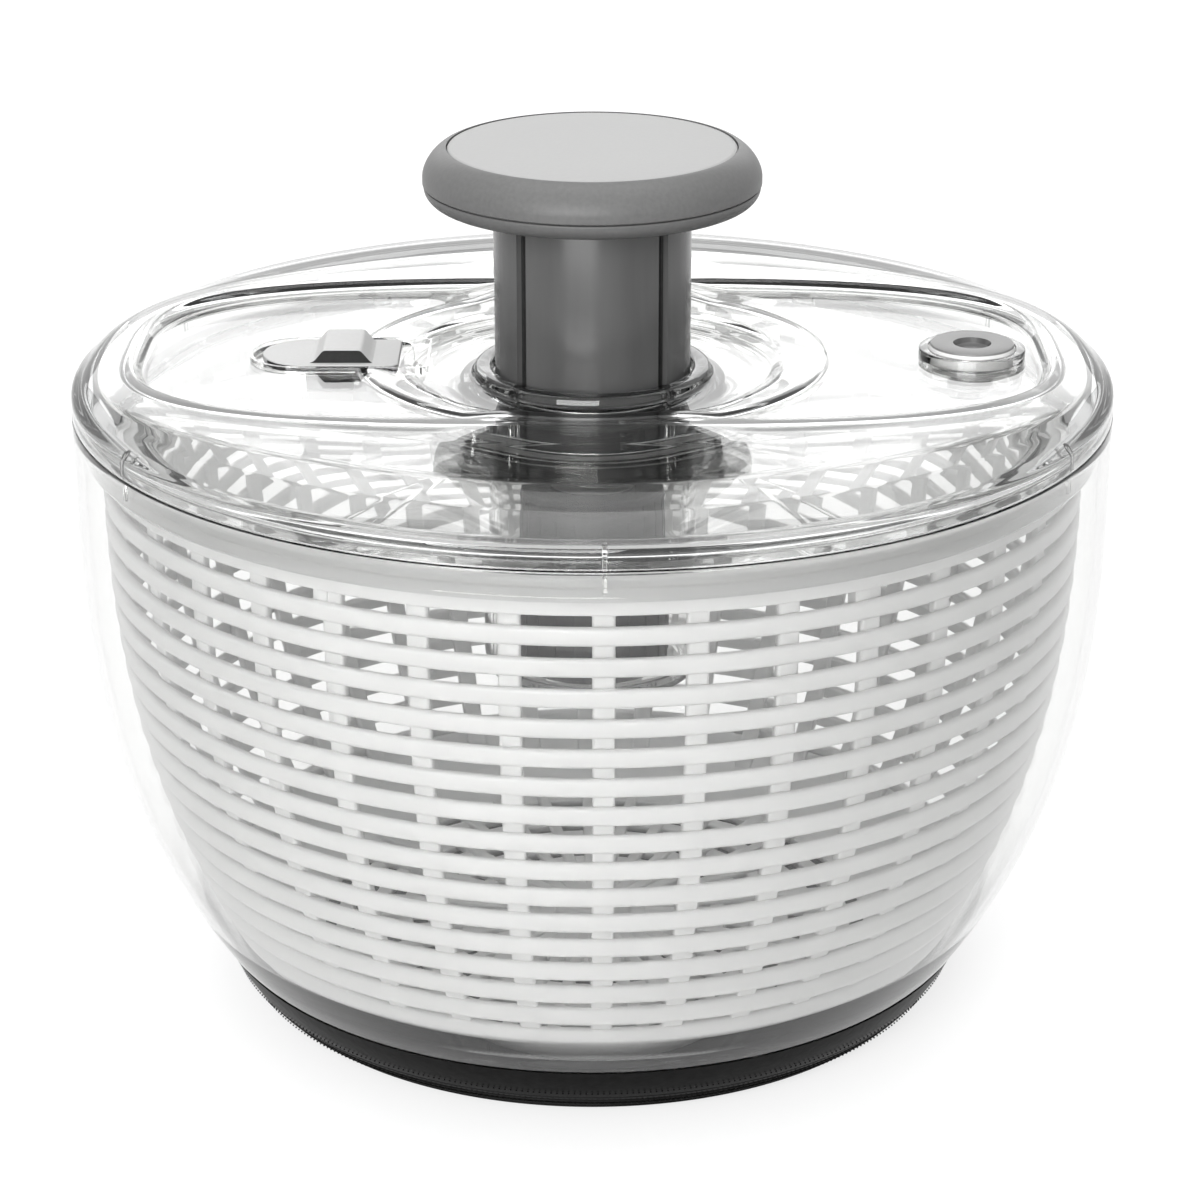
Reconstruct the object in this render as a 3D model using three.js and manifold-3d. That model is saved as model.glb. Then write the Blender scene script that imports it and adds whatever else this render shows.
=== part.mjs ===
// Pump-action salad spinner: clear bowl and lid, slotted basket, press knob with a spiral drive,
// brake button and knob lock. Millimetres, +Z up, origin on the resting face under the bowl's centre.
import * as THREE from 'three';
import { mergeVertices } from 'three/addons/utils/BufferGeometryUtils.js';
import Module from 'manifold-3d';

const wasm = await Module();
wasm.setup();

// ---- driving dimensions -------------------------------------------------------------------------
const BOWL_R = 130.6;         // bowl, outer radius at its widest
const RIM_Z = 157.3;          // bowl, height of the rim
const BOWL_WALL = 2.6;
const BELLY_DROP = 12.3;      // widest height, below the rim
const BELLY_POWER = 2.85;     // how quickly the side turns in towards the foot
const FOOT_INSET = 31.5;      // foot radius, in from the widest radius
const FOOT_Z = 16;            // top edge of the non-slip base
const BASE_T = 2.8;           // non-slip base, thickness
const BASE_FLAT_INSET = 17.1; // flat underside, in from the foot radius
const BASE_TURN_INSET = 6.6;  // corner point of the base's turn, in from the foot radius
const PIVOT_R = 3.5;          // pin in the bowl's floor that the basket turns on
const PIVOT_H = 6.5;

const FIT = 0.3;              // gap at faces that touch
const RUN = 0.6;              // gap at faces that slide or turn past each other
const SEGMENTS = 36;          // facets round the large pieces
const SMALL_SEGMENTS = 18;    // facets round the small pieces
const KNOB_SEGMENTS = 30;
const SCREW_SEGMENTS = 8;     // facets round screws, pins and their holes
const TUBE_CLEAR = 1.5;       // tube's foot above the cup's floor at full travel
const WINDOW_RISE = 16;       // snap windows above the tube's foot
const CREST_DROP = 2.2;       // crest below the crown, where it crosses the panel
const FINE_HOLE_R = 1.2;      // clearance holes of the clutch screws
const BOSS_HOLE_R = 1.4;      // pilot holes of the retainer screws
const WIDE_HOLE_R = 1.5;      // holes of the nut and knob screws

const BASKET_INSET = 6.9;     // basket, outer radius in from the bowl's widest
const BASKET_WALL = 2.2;
const BASKET_TOP_DROP = 3.3;  // basket's top edge, below the bowl's rim
const BASKET_FLOOR_Z = 8.5;
const BASKET_TURN_Z = 25;     // height where the side turns into the floor
const BASKET_TURN_INSET = 26; // radius there, in from the basket's widest
const BASKET_FLAT_INSET = 48; // radius of the flat floor, in from the basket's widest
const BASKET_POWER = 2.45;
const BASKET_RIBS = 18;
const BASKET_ROWS = 6;
const RIB_W = 6;
const BAND_H = 12;            // plain band under the basket's top edge
const RING_H = 7;             // each ring between two rows of slots
const HUB_R = 10;             // hub in the basket's floor
const HUB_H = 7;
const DOG_COUNT = 6;          // ribs inside the basket's band that the drive disc pulls round
const DOG_W = 4;
const DOG_D = 3;
const DOG_H = 14;

const LID_T = 2.6;            // lid, plate thickness
const SKIRT_H = 6.6;          // lid, edge from its foot to the start of the shoulder
const CROWN_RISE = 11.9;      // raised panel edge, above the skirt's foot
const PANEL_INSET = 15.3;     // panel's half-length, in from the bowl's widest
const PANEL_SIDE = 3.4;       // panel's half-width, out from the bead round the pump
const PANEL_POWER = 3.2;      // squareness of the panel's outline
const PANEL_BEAD = 2.4;       // width of the raised bead round the panel
const PANEL_DEPTH = 3.1;      // panel floor, below its bead
const CREST_OUT = 11.9;       // bead round the pump, out from the well
const WELL_CLEAR = 2.7;       // well that the knob drops into, clear of the knob
const WELL_DEPTH = 4.4;       // well floor, below the panel's floor
const COLLAR_H = 2.9;         // collar round the plunger, above the well floor
const COLLAR_T = 4.2;         // collar's wall, out from its bore
const BOSS_H = 15;            // boss below the well floor
const BOSS_T = 7;
const PLUG_R_INSET = 3.5;     // ring that plugs into the bowl, in from the bowl's widest
const PLUG_T = 2.4;
const PLUG_H = 8.6;
const TICK_W = 1.2;           // small locating ribs on the plug ring
const TICK_D = 0.3;

const PLUNGER_R = 24.7;
const PLUNGER_WALL = 3;
const STROKE = 41;
const KEY_W = 2.8;            // four keyways that stop the plunger turning
const KEY_D = 1.2;
const KNOB_R = 42.5;
const KNOB_RIM_W = 6.3;       // knob's ring, in from its edge to the cap
const KNOB_H = 14.2;
const KNOB_SPLIT = 5;         // parting line, above the knob's underside
const KNOB_WALL = 2.4;

const LEAD = 30;              // spiral spindle, travel for one turn
const SPINDLE_W = 8;
const SPINDLE_T = 3.4;
const NUT_H = 7;
const NUT_CLEAR = 0.5;
const SPRING_R = 9.5;
const SPRING_WIRE = 1.3;
const SPRING_COILS = 7;
const SPRING_SOLID = 11.5;    // return spring's length when the knob is down
const CLUTCH_R = 19.5;
const CLUTCH_H = 25.2;
const CLUTCH_HUB_R = 7;
const ROLLER_R = 1.6;
const JOURNAL_R = 3.8;

const CUP_CLEAR = 1.5;        // cup that the plunger runs down into, clear of the plunger
const CUP_WALL = 1.8;
const DISC_T = 2;
const HUB_CLEAR = 2.6;        // disc's hub, clear of the retainer's edge
const HUB_WALL = 2.5;
const RETAINER_T = 3;
const RETAINER_OVERHANG = 3.2;

const BRAKE_INSET = 19.7;     // brake button's centre, in from the panel's end
const BRAKE_R = 10.6;
const BRAKE_TRAVEL = 2.5;
const BRAKE_COLLAR_T = 2.4;
const BRAKE_COLLAR_H = 2.4;   // above the panel floor
const BRAKE_STEM_R = 2.8;

const LOCK_IN = 3.7;          // lock slider's reach when closed, in from the well's edge
const LOCK_L = 34.5;
const LOCK_HALF = 11.15;
const LOCK_TRAVEL = 7;
const LOCK_POCKET_D = 1.2;
const LOCK_GRIP_IN = 12;      // grip, in from the round end of the pad
const LOCK_GRIP_H = 3.2;
const TONGUE_H = 3;
const TONGUE_HALF = 3;
const TONGUE_BITE = 1.8;      // how far the tongue enters the plunger when locked

// ---- heights and radii that follow ----------------------------------------------------------------
const WELL_R = KNOB_R + WELL_CLEAR;
const CREST_R = WELL_R + CREST_OUT;
const PANEL_B = CREST_R + PANEL_SIDE;
const KNOB_CAP_R = KNOB_R - KNOB_RIM_W;
const CUP_R = PLUNGER_R + CUP_CLEAR + CUP_WALL;
const LOCK_X = -(WELL_R - LOCK_IN + LOCK_TRAVEL + LOCK_L);
const FOOT_R = BOWL_R - FOOT_INSET;
const BELLY_Z = RIM_Z - BELLY_DROP;
const BOWL_FLOOR = BASE_T + FIT + BOWL_WALL;
const SKIRT_Z = RIM_Z + FIT;
const CROWN_Z = SKIRT_Z + CROWN_RISE;
const PANEL_Z = CROWN_Z - PANEL_DEPTH;
const PANEL_A = BOWL_R - PANEL_INSET;
const WELL_Z = PANEL_Z - WELL_DEPTH;
const COLLAR_Z = WELL_Z + COLLAR_H;
const BORE_R = PLUNGER_R + RUN;
const COLLAR_R = BORE_R + COLLAR_T;
const BOSS_R = BORE_R + BOSS_T;
const BOSS_Z = WELL_Z - BOSS_H;
const RETAINER_TOP = BOSS_Z - FIT;
const RETAINER_R = BOSS_R + RETAINER_OVERHANG;
const DISC_HUB_R = RETAINER_R + HUB_CLEAR + HUB_WALL;
const WASHER_Z = RETAINER_TOP + FIT;
const WASHER_T = 0.8;
const DISC_Z = WASHER_Z + WASHER_T + FIT;
const DISC_TOP = DISC_Z + DISC_T;
const HEAD_H = 1.2;
const HUB_WEB_TOP = RETAINER_TOP - RETAINER_T - FIT - HEAD_H - 2 * RUN;
const BASKET_R = BOWL_R - BASKET_INSET;
const BASKET_TOP = RIM_Z - BASKET_TOP_DROP;
const DISC_R = BASKET_R - BASKET_WALL - 3 * RUN;

const KNOB_Z = COLLAR_Z + RUN + STROKE;
const KNOB_TOP = KNOB_Z + KNOB_H;
const CAP_T = 2.7;
const SPINDLE_TOP = KNOB_TOP - CAP_T - STROKE - 2.5;
const NUT_TOP = SPINDLE_TOP - 1.3;
const NUT_Z = NUT_TOP - NUT_H;
const SPRING_Z = NUT_Z - STROKE - SPRING_SOLID;
const SEAT_T = 0.8;
const CLUTCH_CAP_T = 1.8;
const SEAT_Z = SPRING_Z - FIT - SEAT_T;
const CLUTCH_CAP_Z = SEAT_Z - FIT - CLUTCH_CAP_T;
const CLUTCH_Z = CLUTCH_CAP_Z - FIT - CLUTCH_H;
const CUP_FLOOR = CLUTCH_Z - FIT;
const CUP_T = 2.5;
const CUP_Z = CUP_FLOOR - CUP_T;
const CUP_BORE_R = CUP_R - CUP_WALL;
const PLUNGER_Z = CUP_FLOOR + TUBE_CLEAR + STROKE;
const PLUNGER_BORE = PLUNGER_R - PLUNGER_WALL;
const TOP_PLATE_T = 3;
const NUT_R = PLUNGER_BORE - FIT;

const BRAKE_X = PANEL_A - BRAKE_INSET;
const BRAKE_BORE_R = BRAKE_R + 0.4;
const BRAKE_COLLAR_R = BRAKE_BORE_R + BRAKE_COLLAR_T;
const BRAKE_PAD_Z = DISC_TOP + BRAKE_TRAVEL + FIT;
const BRAKE_PAD_H = 3.2;
const BRAKE_FLOOR_Z = BRAKE_PAD_Z + BRAKE_PAD_H + FIT;
const BRAKE_FLOOR_T = 2;
const BRAKE_COLLAR_Z = PANEL_Z + BRAKE_COLLAR_H;

const LOCK_FLOOR = PANEL_Z - LOCK_POCKET_D;
const LOCK_PAD_Z = LOCK_FLOOR + FIT;
const LOCK_PAD_TOP = PANEL_Z + 1;
const NECK_X = LOCK_X + 11;
const NECK_L = 12;
const NECK_HALF = 4.5;
const TONGUE_Z = DISC_TOP + 3.1;
const TONGUE_TIP = PLUNGER_R - TONGUE_BITE + LOCK_TRAVEL;

// ---- helpers ----------------------------------------------------------------------------------------
const v2 = (x, y) => new THREE.Vector2(x, y);
const lerp = THREE.MathUtils.lerp;
const rad = THREE.MathUtils.degToRad;

function signedVolume(p, t) {
  let sum = 0;
  for (let i = 0; i < t.length; i += 3) {
    const [a, b, c] = [t[i] * 3, t[i + 1] * 3, t[i + 2] * 3];
    sum += p[a] * (p[b + 1] * p[c + 2] - p[b + 2] * p[c + 1])
      - p[a + 1] * (p[b] * p[c + 2] - p[b + 2] * p[c])
      + p[a + 2] * (p[b] * p[c + 1] - p[b + 1] * p[c]);
  }
  return sum / 6;
}

// a closed three.js geometry as a solid, with its faces turned outwards
function solid(geometry) {
  const bare = geometry.clone();
  bare.deleteAttribute('normal');
  bare.deleteAttribute('uv');
  const merged = mergeVertices(bare, 1e-4);
  const index = merged.index.array;
  const faces = [];
  for (let i = 0; i < index.length; i += 3) {
    const [a, b, c] = [index[i], index[i + 1], index[i + 2]];
    if (a !== b && b !== c && c !== a) faces.push(a, b, c);
  }
  const points = new Float32Array(merged.attributes.position.array);
  if (signedVolume(points, faces) < 0) {
    for (let i = 0; i < faces.length; i += 3) [faces[i + 1], faces[i + 2]] = [faces[i + 2], faces[i + 1]];
  }
  const mesh = new wasm.Mesh({ numProp: 3, vertProperties: points, triVerts: new Uint32Array(faces) });
  return new wasm.Manifold(mesh);
}

function toGeometry(body) {
  const mesh = body.getMesh();
  const geometry = new THREE.BufferGeometry();
  geometry.setAttribute('position', new THREE.BufferAttribute(new Float32Array(mesh.vertProperties), 3));
  geometry.setIndex(new THREE.BufferAttribute(new Uint32Array(mesh.triVerts), 1));
  geometry.computeVertexNormals();
  return geometry;
}

const cut = (body, tools) => tools.reduce((left, tool) => left.subtract(tool), body);
const join = (bodies) => bodies.reduce((left, next) => left.add(next));

// solid of revolution about +Z from [radius, height] points that start and end on the axis
function turned(points, segments = SEGMENTS) {
  const geometry = new THREE.LatheGeometry(points.map(([r, z]) => v2(r, z)), segments);
  return solid(geometry.rotateX(Math.PI / 2));
}

// ring of revolution from [radius, height] points that close on themselves
const turnedRing = (points, segments = SEGMENTS) => turned([...points, points[0]], segments);

const ring = (inner, outer, z0, z1, segments = SEGMENTS) =>
  turnedRing([[inner, z0], [outer, z0], [outer, z1], [inner, z1]], segments);

const disc = (r, z0, z1, segments = SMALL_SEGMENTS) =>
  turned([[0, z0], [r, z0], [r, z1], [0, z1]], segments);

function box(x0, x1, y0, y1, z0, z1) {
  const geometry = new THREE.BoxGeometry(x1 - x0, y1 - y0, z1 - z0);
  return solid(geometry.translate((x0 + x1) / 2, (y0 + y1) / 2, (z0 + z1) / 2));
}

// the same tool at several angles about +Z
const around = (count, start, make) =>
  Array.from({ length: count }, (_, i) => make().rotate([0, 0, start + (360 * i) / count]));

// outline in the XY plane, raised from z0 to z1
function raised(shape, z0, z1, curveSegments = 10) {
  const geometry = new THREE.ExtrudeGeometry(shape, { depth: z1 - z0, bevelEnabled: false, curveSegments });
  return solid(geometry.translate(0, 0, z0));
}

// slot outline: round at its outer end, square at its inner end
function padOutline(x0, x1, half) {
  const shape = new THREE.Shape();
  shape.moveTo(x1, -half);
  shape.lineTo(x1, half);
  shape.lineTo(x0 + half, half);
  shape.absarc(x0 + half, 0, half, Math.PI / 2, (3 * Math.PI) / 2, false);
  shape.closePath();
  return shape;
}

// rectangular bar twisted at the spindle's lead
function twistedBar(width, thickness, z0, z1) {
  const steps = Math.ceil(((z1 - z0) / LEAD) * 24);
  const geometry = new THREE.BoxGeometry(width, thickness, z1 - z0, 2, 1, steps);
  geometry.translate(0, 0, (z0 + z1) / 2);
  const p = geometry.attributes.position;
  for (let i = 0; i < p.count; i++) {
    const turn = (2 * Math.PI * (p.getZ(i) - SPINDLE_TOP)) / LEAD;
    const [x, y] = [p.getX(i), p.getY(i)];
    p.setX(i, x * Math.cos(turn) - y * Math.sin(turn));
    p.setY(i, x * Math.sin(turn) + y * Math.cos(turn));
  }
  return solid(geometry);
}

class Helix extends THREE.Curve {
  constructor(radius, turns, z0, z1) {
    super();
    Object.assign(this, { radius, turns, z0, z1 });
  }

  getPoint(t, target = new THREE.Vector3()) {
    const angle = 2 * Math.PI * this.turns * t;
    const [x, y] = [this.radius * Math.cos(angle), this.radius * Math.sin(angle)];
    return target.set(x, y, lerp(this.z0, this.z1, t));
  }
}

function coil(radius, wire, turns, z0, z1) {
  const section = new THREE.Shape();
  section.absarc(0, 0, wire / 2, 0, 2 * Math.PI, false);
  const path = new Helix(radius, turns, z0 + wire / 2 + 0.1, z1 - wire / 2 - 0.1);
  const options = { extrudePath: path, steps: turns * 7, curveSegments: 2, bevelEnabled: false };
  return solid(new THREE.ExtrudeGeometry(section, options));
}

// pan-head screw along Z; side is +1 with the head on top, -1 with the head underneath
function screw(x, y, headZ, side, headR, headH, shankR, length) {
  const far = headZ - side * length;
  const top = headZ + side * headH;
  const points = [[0, far], [shankR, far], [shankR, headZ], [headR, headZ], [headR * 0.9, top], [0, top]];
  return turned(points, SCREW_SEGMENTS).translate([x, y, 0]);
}

const polar = (r, deg) => [r * Math.cos(rad(deg)), r * Math.sin(rad(deg))];

// ---- bowl and base ----------------------------------------------------------------------------------
function bowlRadius(z) {
  const share = Math.max(0, (BELLY_Z - z) / (BELLY_Z - FOOT_Z));
  return BOWL_R - FOOT_INSET * share ** BELLY_POWER;
}

// the turn from the flat underside up to the foot, moved inwards by an inset
function baseTurn(inset, points) {
  const curve = new THREE.QuadraticBezierCurve(
    v2(FOOT_R - BASE_FLAT_INSET - inset / 2, inset),
    v2(FOOT_R - BASE_TURN_INSET - inset, inset + 0.5),
    v2(FOOT_R - inset, FOOT_Z),
  );
  return curve.getPoints(points).map((p) => [p.x, p.y]);
}

function sideWall(radiusAt, inset, z0, z1, rows) {
  return Array.from({ length: rows + 1 }, (_, i) => {
    const z = lerp(z0, z1, i / rows);
    return [radiusAt(z) - inset, z];
  });
}

function makeBowl() {
  const step = BASE_T + FIT;
  const outside = [...baseTurn(step, 4), [FOOT_R, FOOT_Z + FIT]];
  const inside = baseTurn(step + BOWL_WALL, 4);
  return turned([
    [0, step],
    ...outside,
    ...sideWall(bowlRadius, 0, FOOT_Z + 12, RIM_Z, 5),
    ...sideWall(bowlRadius, BOWL_WALL, FOOT_Z + 12, RIM_Z, 5).reverse(),
    ...inside.reverse(),
    [PIVOT_R, BOWL_FLOOR],
    [PIVOT_R, BOWL_FLOOR + PIVOT_H - 1.5],
    [PIVOT_R - 1.5, BOWL_FLOOR + PIVOT_H],
    [0, BOWL_FLOOR + PIVOT_H],
  ]);
}

function makeBase() {
  return turned([[0, 0], ...baseTurn(0, 4), ...baseTurn(BASE_T, 4).reverse(), [0, BASE_T]]);
}

// ---- basket -----------------------------------------------------------------------------------------
function basketRadius(z) {
  const share = Math.max(0, (BELLY_Z - z) / (BELLY_Z - BASKET_TURN_Z));
  return BASKET_R - BASKET_TURN_INSET * share ** BASKET_POWER;
}

// outside line of the basket from its top edge to its hub, with a flag where a slot follows
function basketLine() {
  const rows = [{ r: basketRadius(BASKET_TOP), z: BASKET_TOP, open: false }];
  const pitch = (BASKET_TOP - BAND_H - BASKET_TURN_Z) / BASKET_ROWS;
  for (let i = 0; i < BASKET_ROWS; i++) {
    const z = BASKET_TOP - BAND_H - pitch * i;
    rows.push({ r: basketRadius(z), z, open: true });
    rows.push({ r: basketRadius(z - pitch + RING_H), z: z - pitch + RING_H, open: false });
  }
  const turnR = basketRadius(BASKET_TURN_Z);
  const flatR = BASKET_R - BASKET_FLAT_INSET;
  rows.push({ r: turnR, z: BASKET_TURN_Z, open: false });
  rows.push({ r: lerp(flatR, turnR, 0.6), z: BASKET_FLOOR_Z + 5, open: false });
  const slotR = [flatR, lerp(flatR, HUB_R, 0.45), lerp(flatR, HUB_R, 0.55), HUB_R + 6, HUB_R];
  slotR.forEach((r, i) => rows.push({ r, z: BASKET_FLOOR_Z, open: i % 2 === 0 && i < 4 }));
  return rows;
}

// the same line moved to the inside of the wall
function insideOf(line, i) {
  const before = line[Math.max(i - 1, 0)];
  const after = line[Math.min(i + 1, line.length - 1)];
  const dir = v2(after.r - before.r, after.z - before.z).normalize();
  const normal = v2(dir.y, -dir.x);
  return { r: line[i].r + normal.x * BASKET_WALL, z: line[i].z + normal.y * BASKET_WALL };
}

// closed lattice: columns of ribs and gaps round the axis, rows along the line
function lattice(line) {
  const columns = [];
  for (let k = 0; k < BASKET_RIBS; k++) {
    const middle = (360 * k) / BASKET_RIBS;
    columns.push({ middle, side: -1, open: false }, { middle, side: 1, open: true });
  }
  const outer = line;
  const inner = line.map((_, i) => insideOf(line, i));
  const positions = [];
  const vertex = (skin, row, col) => {
    const { middle, side } = columns[col];
    const half = Math.min(THREE.MathUtils.radToDeg(RIB_W / 2 / outer[row].r), 360 / BASKET_RIBS / 3.5);
    const [x, y] = polar(skin[row].r, middle + side * half);
    return [x, y, skin[row].z];
  };
  const id = (skinIndex, row, col) =>
    (skinIndex * line.length + row) * columns.length + (col % columns.length);
  [outer, inner].forEach((skin) => line.forEach((_, row) => columns.forEach((__, col) => {
    positions.push(...vertex(skin, row, col));
  })));
  const isSolid = (row, col) =>
    row >= 0 && row < line.length - 1
    && !(line[row].open && columns[(col + columns.length) % columns.length].open);
  const faces = [];
  const quad = (a, b, c, d) => faces.push(a, b, c, a, c, d);
  for (let row = 0; row < line.length - 1; row++) {
    for (let col = 0; col < columns.length; col++) {
      if (!isSolid(row, col)) continue;
      const corner = (skin, dr, dc) => id(skin, row + dr, col + dc);
      quad(corner(0, 1, 0), corner(0, 1, 1), corner(0, 0, 1), corner(0, 0, 0));
      quad(corner(1, 0, 0), corner(1, 0, 1), corner(1, 1, 1), corner(1, 1, 0));
      if (!isSolid(row - 1, col)) quad(corner(0, 0, 0), corner(0, 0, 1), corner(1, 0, 1), corner(1, 0, 0));
      if (!isSolid(row + 1, col)) quad(corner(1, 1, 0), corner(1, 1, 1), corner(0, 1, 1), corner(0, 1, 0));
      if (!isSolid(row, col - 1)) quad(corner(0, 1, 0), corner(0, 0, 0), corner(1, 0, 0), corner(1, 1, 0));
      if (!isSolid(row, col + 1)) quad(corner(0, 0, 1), corner(0, 1, 1), corner(1, 1, 1), corner(1, 0, 1));
    }
  }
  const geometry = new THREE.BufferGeometry();
  geometry.setAttribute('position', new THREE.Float32BufferAttribute(positions, 3));
  geometry.setIndex(faces);
  return solid(geometry);
}

function makeBasket() {
  const socketR = PIVOT_R + 0.4;
  const socketTop = BOWL_FLOOR + PIVOT_H + FIT;
  const hub = turned([
    [0, socketTop],
    [socketR, socketTop],
    [socketR, BASKET_FLOOR_Z],
    [HUB_R + 1, BASKET_FLOOR_Z],
    [HUB_R + 1, BASKET_FLOOR_Z + BASKET_WALL],
    [HUB_R - 1, BASKET_FLOOR_Z + HUB_H],
    [0, BASKET_FLOOR_Z + HUB_H],
  ], SMALL_SEGMENTS);
  const inner = BASKET_R - BASKET_WALL - DOG_D;
  const top = BASKET_TOP - 1.5;
  const dogs = around(DOG_COUNT, 0, () =>
    box(inner, BASKET_R - BASKET_WALL / 2, -DOG_W / 2, DOG_W / 2, top - DOG_H, top));
  return join([lattice(basketLine()), hub, ...dogs]);
}

// ---- lid --------------------------------------------------------------------------------------------
function panelRadius(angle) {
  const x = Math.abs(Math.cos(angle) / PANEL_A) ** PANEL_POWER;
  const y = Math.abs(Math.sin(angle) / PANEL_B) ** PANEL_POWER;
  return (x + y) ** (-1 / PANEL_POWER);
}

// section of the lid at one angle: over the top from the skirt to the bore, back underneath
function lidSection(angle) {
  const bead = PANEL_BEAD / 2;
  const edge = panelRadius(angle);
  const depth = THREE.MathUtils.smoothstep(edge, CREST_R + 5, CREST_R + 15);
  const floor = CROWN_Z - PANEL_DEPTH * depth;
  const crest = CROWN_Z - CREST_DROP * depth;
  const crestFoot = CREST_R + 1.5 + 1.1 * depth;
  const edgeFoot = Math.max(edge - bead - 0.4 - 1.9 * depth, crestFoot + 0.3);
  const skirtTop = SKIRT_Z + SKIRT_H;
  const shoulderR = BOWL_R - 1.8;
  const rise = CROWN_Z - skirtTop;
  const shoulder = (share) => lerp(shoulderR, edge + bead, share);
  const plugR = BOWL_R - PLUG_R_INSET;
  return [
    [BOWL_R - 0.1, SKIRT_Z], [BOWL_R - 0.1, skirtTop - 1.4], [shoulderR, skirtTop],
    [shoulder(0.35), skirtTop + rise * 0.55], [shoulder(0.7), skirtTop + rise * 0.87],
    [edge + bead, CROWN_Z], [edge - bead, CROWN_Z],
    [edgeFoot, floor], [crestFoot, floor],
    [CREST_R + 1, crest], [CREST_R - 1, crest],
    [WELL_R + 3, PANEL_Z - 0.6], [WELL_R - 0.5, WELL_Z + 0.9], [WELL_R - 4, WELL_Z],
    [COLLAR_R + 0.7, WELL_Z], [COLLAR_R, COLLAR_Z - 0.5], [BORE_R + 0.8, COLLAR_Z],
    [BORE_R, COLLAR_Z - 0.8], [BORE_R, BOSS_Z],
    [BOSS_R, BOSS_Z], [BOSS_R, WELL_Z - LID_T],
    [WELL_R - 3.4, WELL_Z - LID_T], [WELL_R + 0.6, WELL_Z - 1.7], [WELL_R + 4, PANEL_Z - 3.2],
    [CREST_R, crest - LID_T - 0.2], [crestFoot + 0.6, floor - LID_T],
    [edgeFoot + 0.6, floor - LID_T], [edge + bead + 0.4, CROWN_Z - LID_T],
    [shoulder(0.5), skirtTop + rise * 0.7 - LID_T], [plugR - PLUG_T, SKIRT_Z + 1.6],
    [plugR - PLUG_T, SKIRT_Z - PLUG_H], [plugR, SKIRT_Z - PLUG_H], [plugR, SKIRT_Z],
  ];
}

// closed ring whose section changes with the angle
function sweptRing(sectionAt, segments) {
  const sections = Array.from({ length: segments }, (_, i) => {
    const angle = (2 * Math.PI * i) / segments;
    return sectionAt(angle).map(([r, z]) => [r * Math.cos(angle), r * Math.sin(angle), z]);
  });
  const count = sections[0].length;
  const id = (i, k) => (i % segments) * count + (k % count);
  const faces = [];
  for (let i = 0; i < segments; i++) {
    for (let k = 0; k < count; k++) {
      faces.push(id(i, k), id(i + 1, k), id(i + 1, k + 1), id(i, k), id(i + 1, k + 1), id(i, k + 1));
    }
  }
  const geometry = new THREE.BufferGeometry();
  geometry.setAttribute('position', new THREE.Float32BufferAttribute(sections.flat(2), 3));
  geometry.setIndex(faces);
  return solid(geometry);
}

function brakeHousing() {
  const tube = ring(BRAKE_STEM_R + RUN, BRAKE_COLLAR_R, BRAKE_FLOOR_Z, BRAKE_COLLAR_Z, SMALL_SEGMENTS);
  return tube.translate([BRAKE_X, 0, 0]);
}

// Screw holes of one radius, from z0 to z1, at each place.
function holesAt(places, radius, z0, z1) {
  return places.map(([x, y]) => disc(radius, z0, z1, SCREW_SEGMENTS).translate([x, y, 0]));
}

function retainerScrewPlaces() {
  return [90, 210, 330].map((deg) => polar((BORE_R + BOSS_R) / 2, deg));
}

function makeLid() {
  const tickR = BOWL_R - PLUG_R_INSET;
  const ticks = around(6, 30, () =>
    box(tickR - 1, tickR + TICK_D, -TICK_W / 2, TICK_W / 2, SKIRT_Z - 6, SKIRT_Z + 0.5));
  const keys = around(4, 45, () =>
    box(PLUNGER_R - KEY_D + RUN, BORE_R + 1, -KEY_W / 2 + 0.4, KEY_W / 2 - 0.4, BOSS_Z, COLLAR_Z - 1));
  const slotX1 = LOCK_X + LOCK_L + LOCK_TRAVEL + RUN;
  const pocket = raised(padOutline(LOCK_X - 3.4, slotX1, LOCK_HALF + 1.8), LOCK_FLOOR, CROWN_Z + 1);
  const neckSlot = box(NECK_X - 1.5, NECK_X + NECK_L + LOCK_TRAVEL + 1.5, -NECK_HALF - RUN, NECK_HALF + RUN,
    TONGUE_Z, CROWN_Z);
  const window = box(-BOSS_R - 1, -PLUNGER_R + KEY_D, -TONGUE_HALF - RUN, TONGUE_HALF + RUN,
    TONGUE_Z - RUN, TONGUE_Z + TONGUE_H + RUN);
  const bore = disc(BRAKE_BORE_R, BRAKE_FLOOR_Z + BRAKE_FLOOR_T, CROWN_Z + 1);
  const stemHole = disc(BRAKE_STEM_R + RUN, BRAKE_FLOOR_Z - 1, CROWN_Z);
  const screwHoles = holesAt(retainerScrewPlaces(), BOSS_HOLE_R, BOSS_Z - 1, BOSS_Z + 6.5);
  const shell = join([sweptRing(lidSection, SEGMENTS), ...ticks, ...keys, brakeHousing()]);
  return cut(shell, [pocket, neckSlot, window, bore.translate([BRAKE_X, 0, 0]),
    stemHole.translate([BRAKE_X, 0, 0]), ...screwHoles]);
}

function makeRetainer() {
  const plate = ring(BORE_R, RETAINER_R, RETAINER_TOP - RETAINER_T, RETAINER_TOP, 32);
  const holes = holesAt(retainerScrewPlaces(), BOSS_HOLE_R, RETAINER_TOP - RETAINER_T - 1, RETAINER_TOP + 1);
  return cut(plate, holes);
}

// ---- drive disc -------------------------------------------------------------------------------------
function clutchScrewPlaces() {
  return [0, 120, 240].map((deg) => polar(11.5, deg));
}

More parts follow.
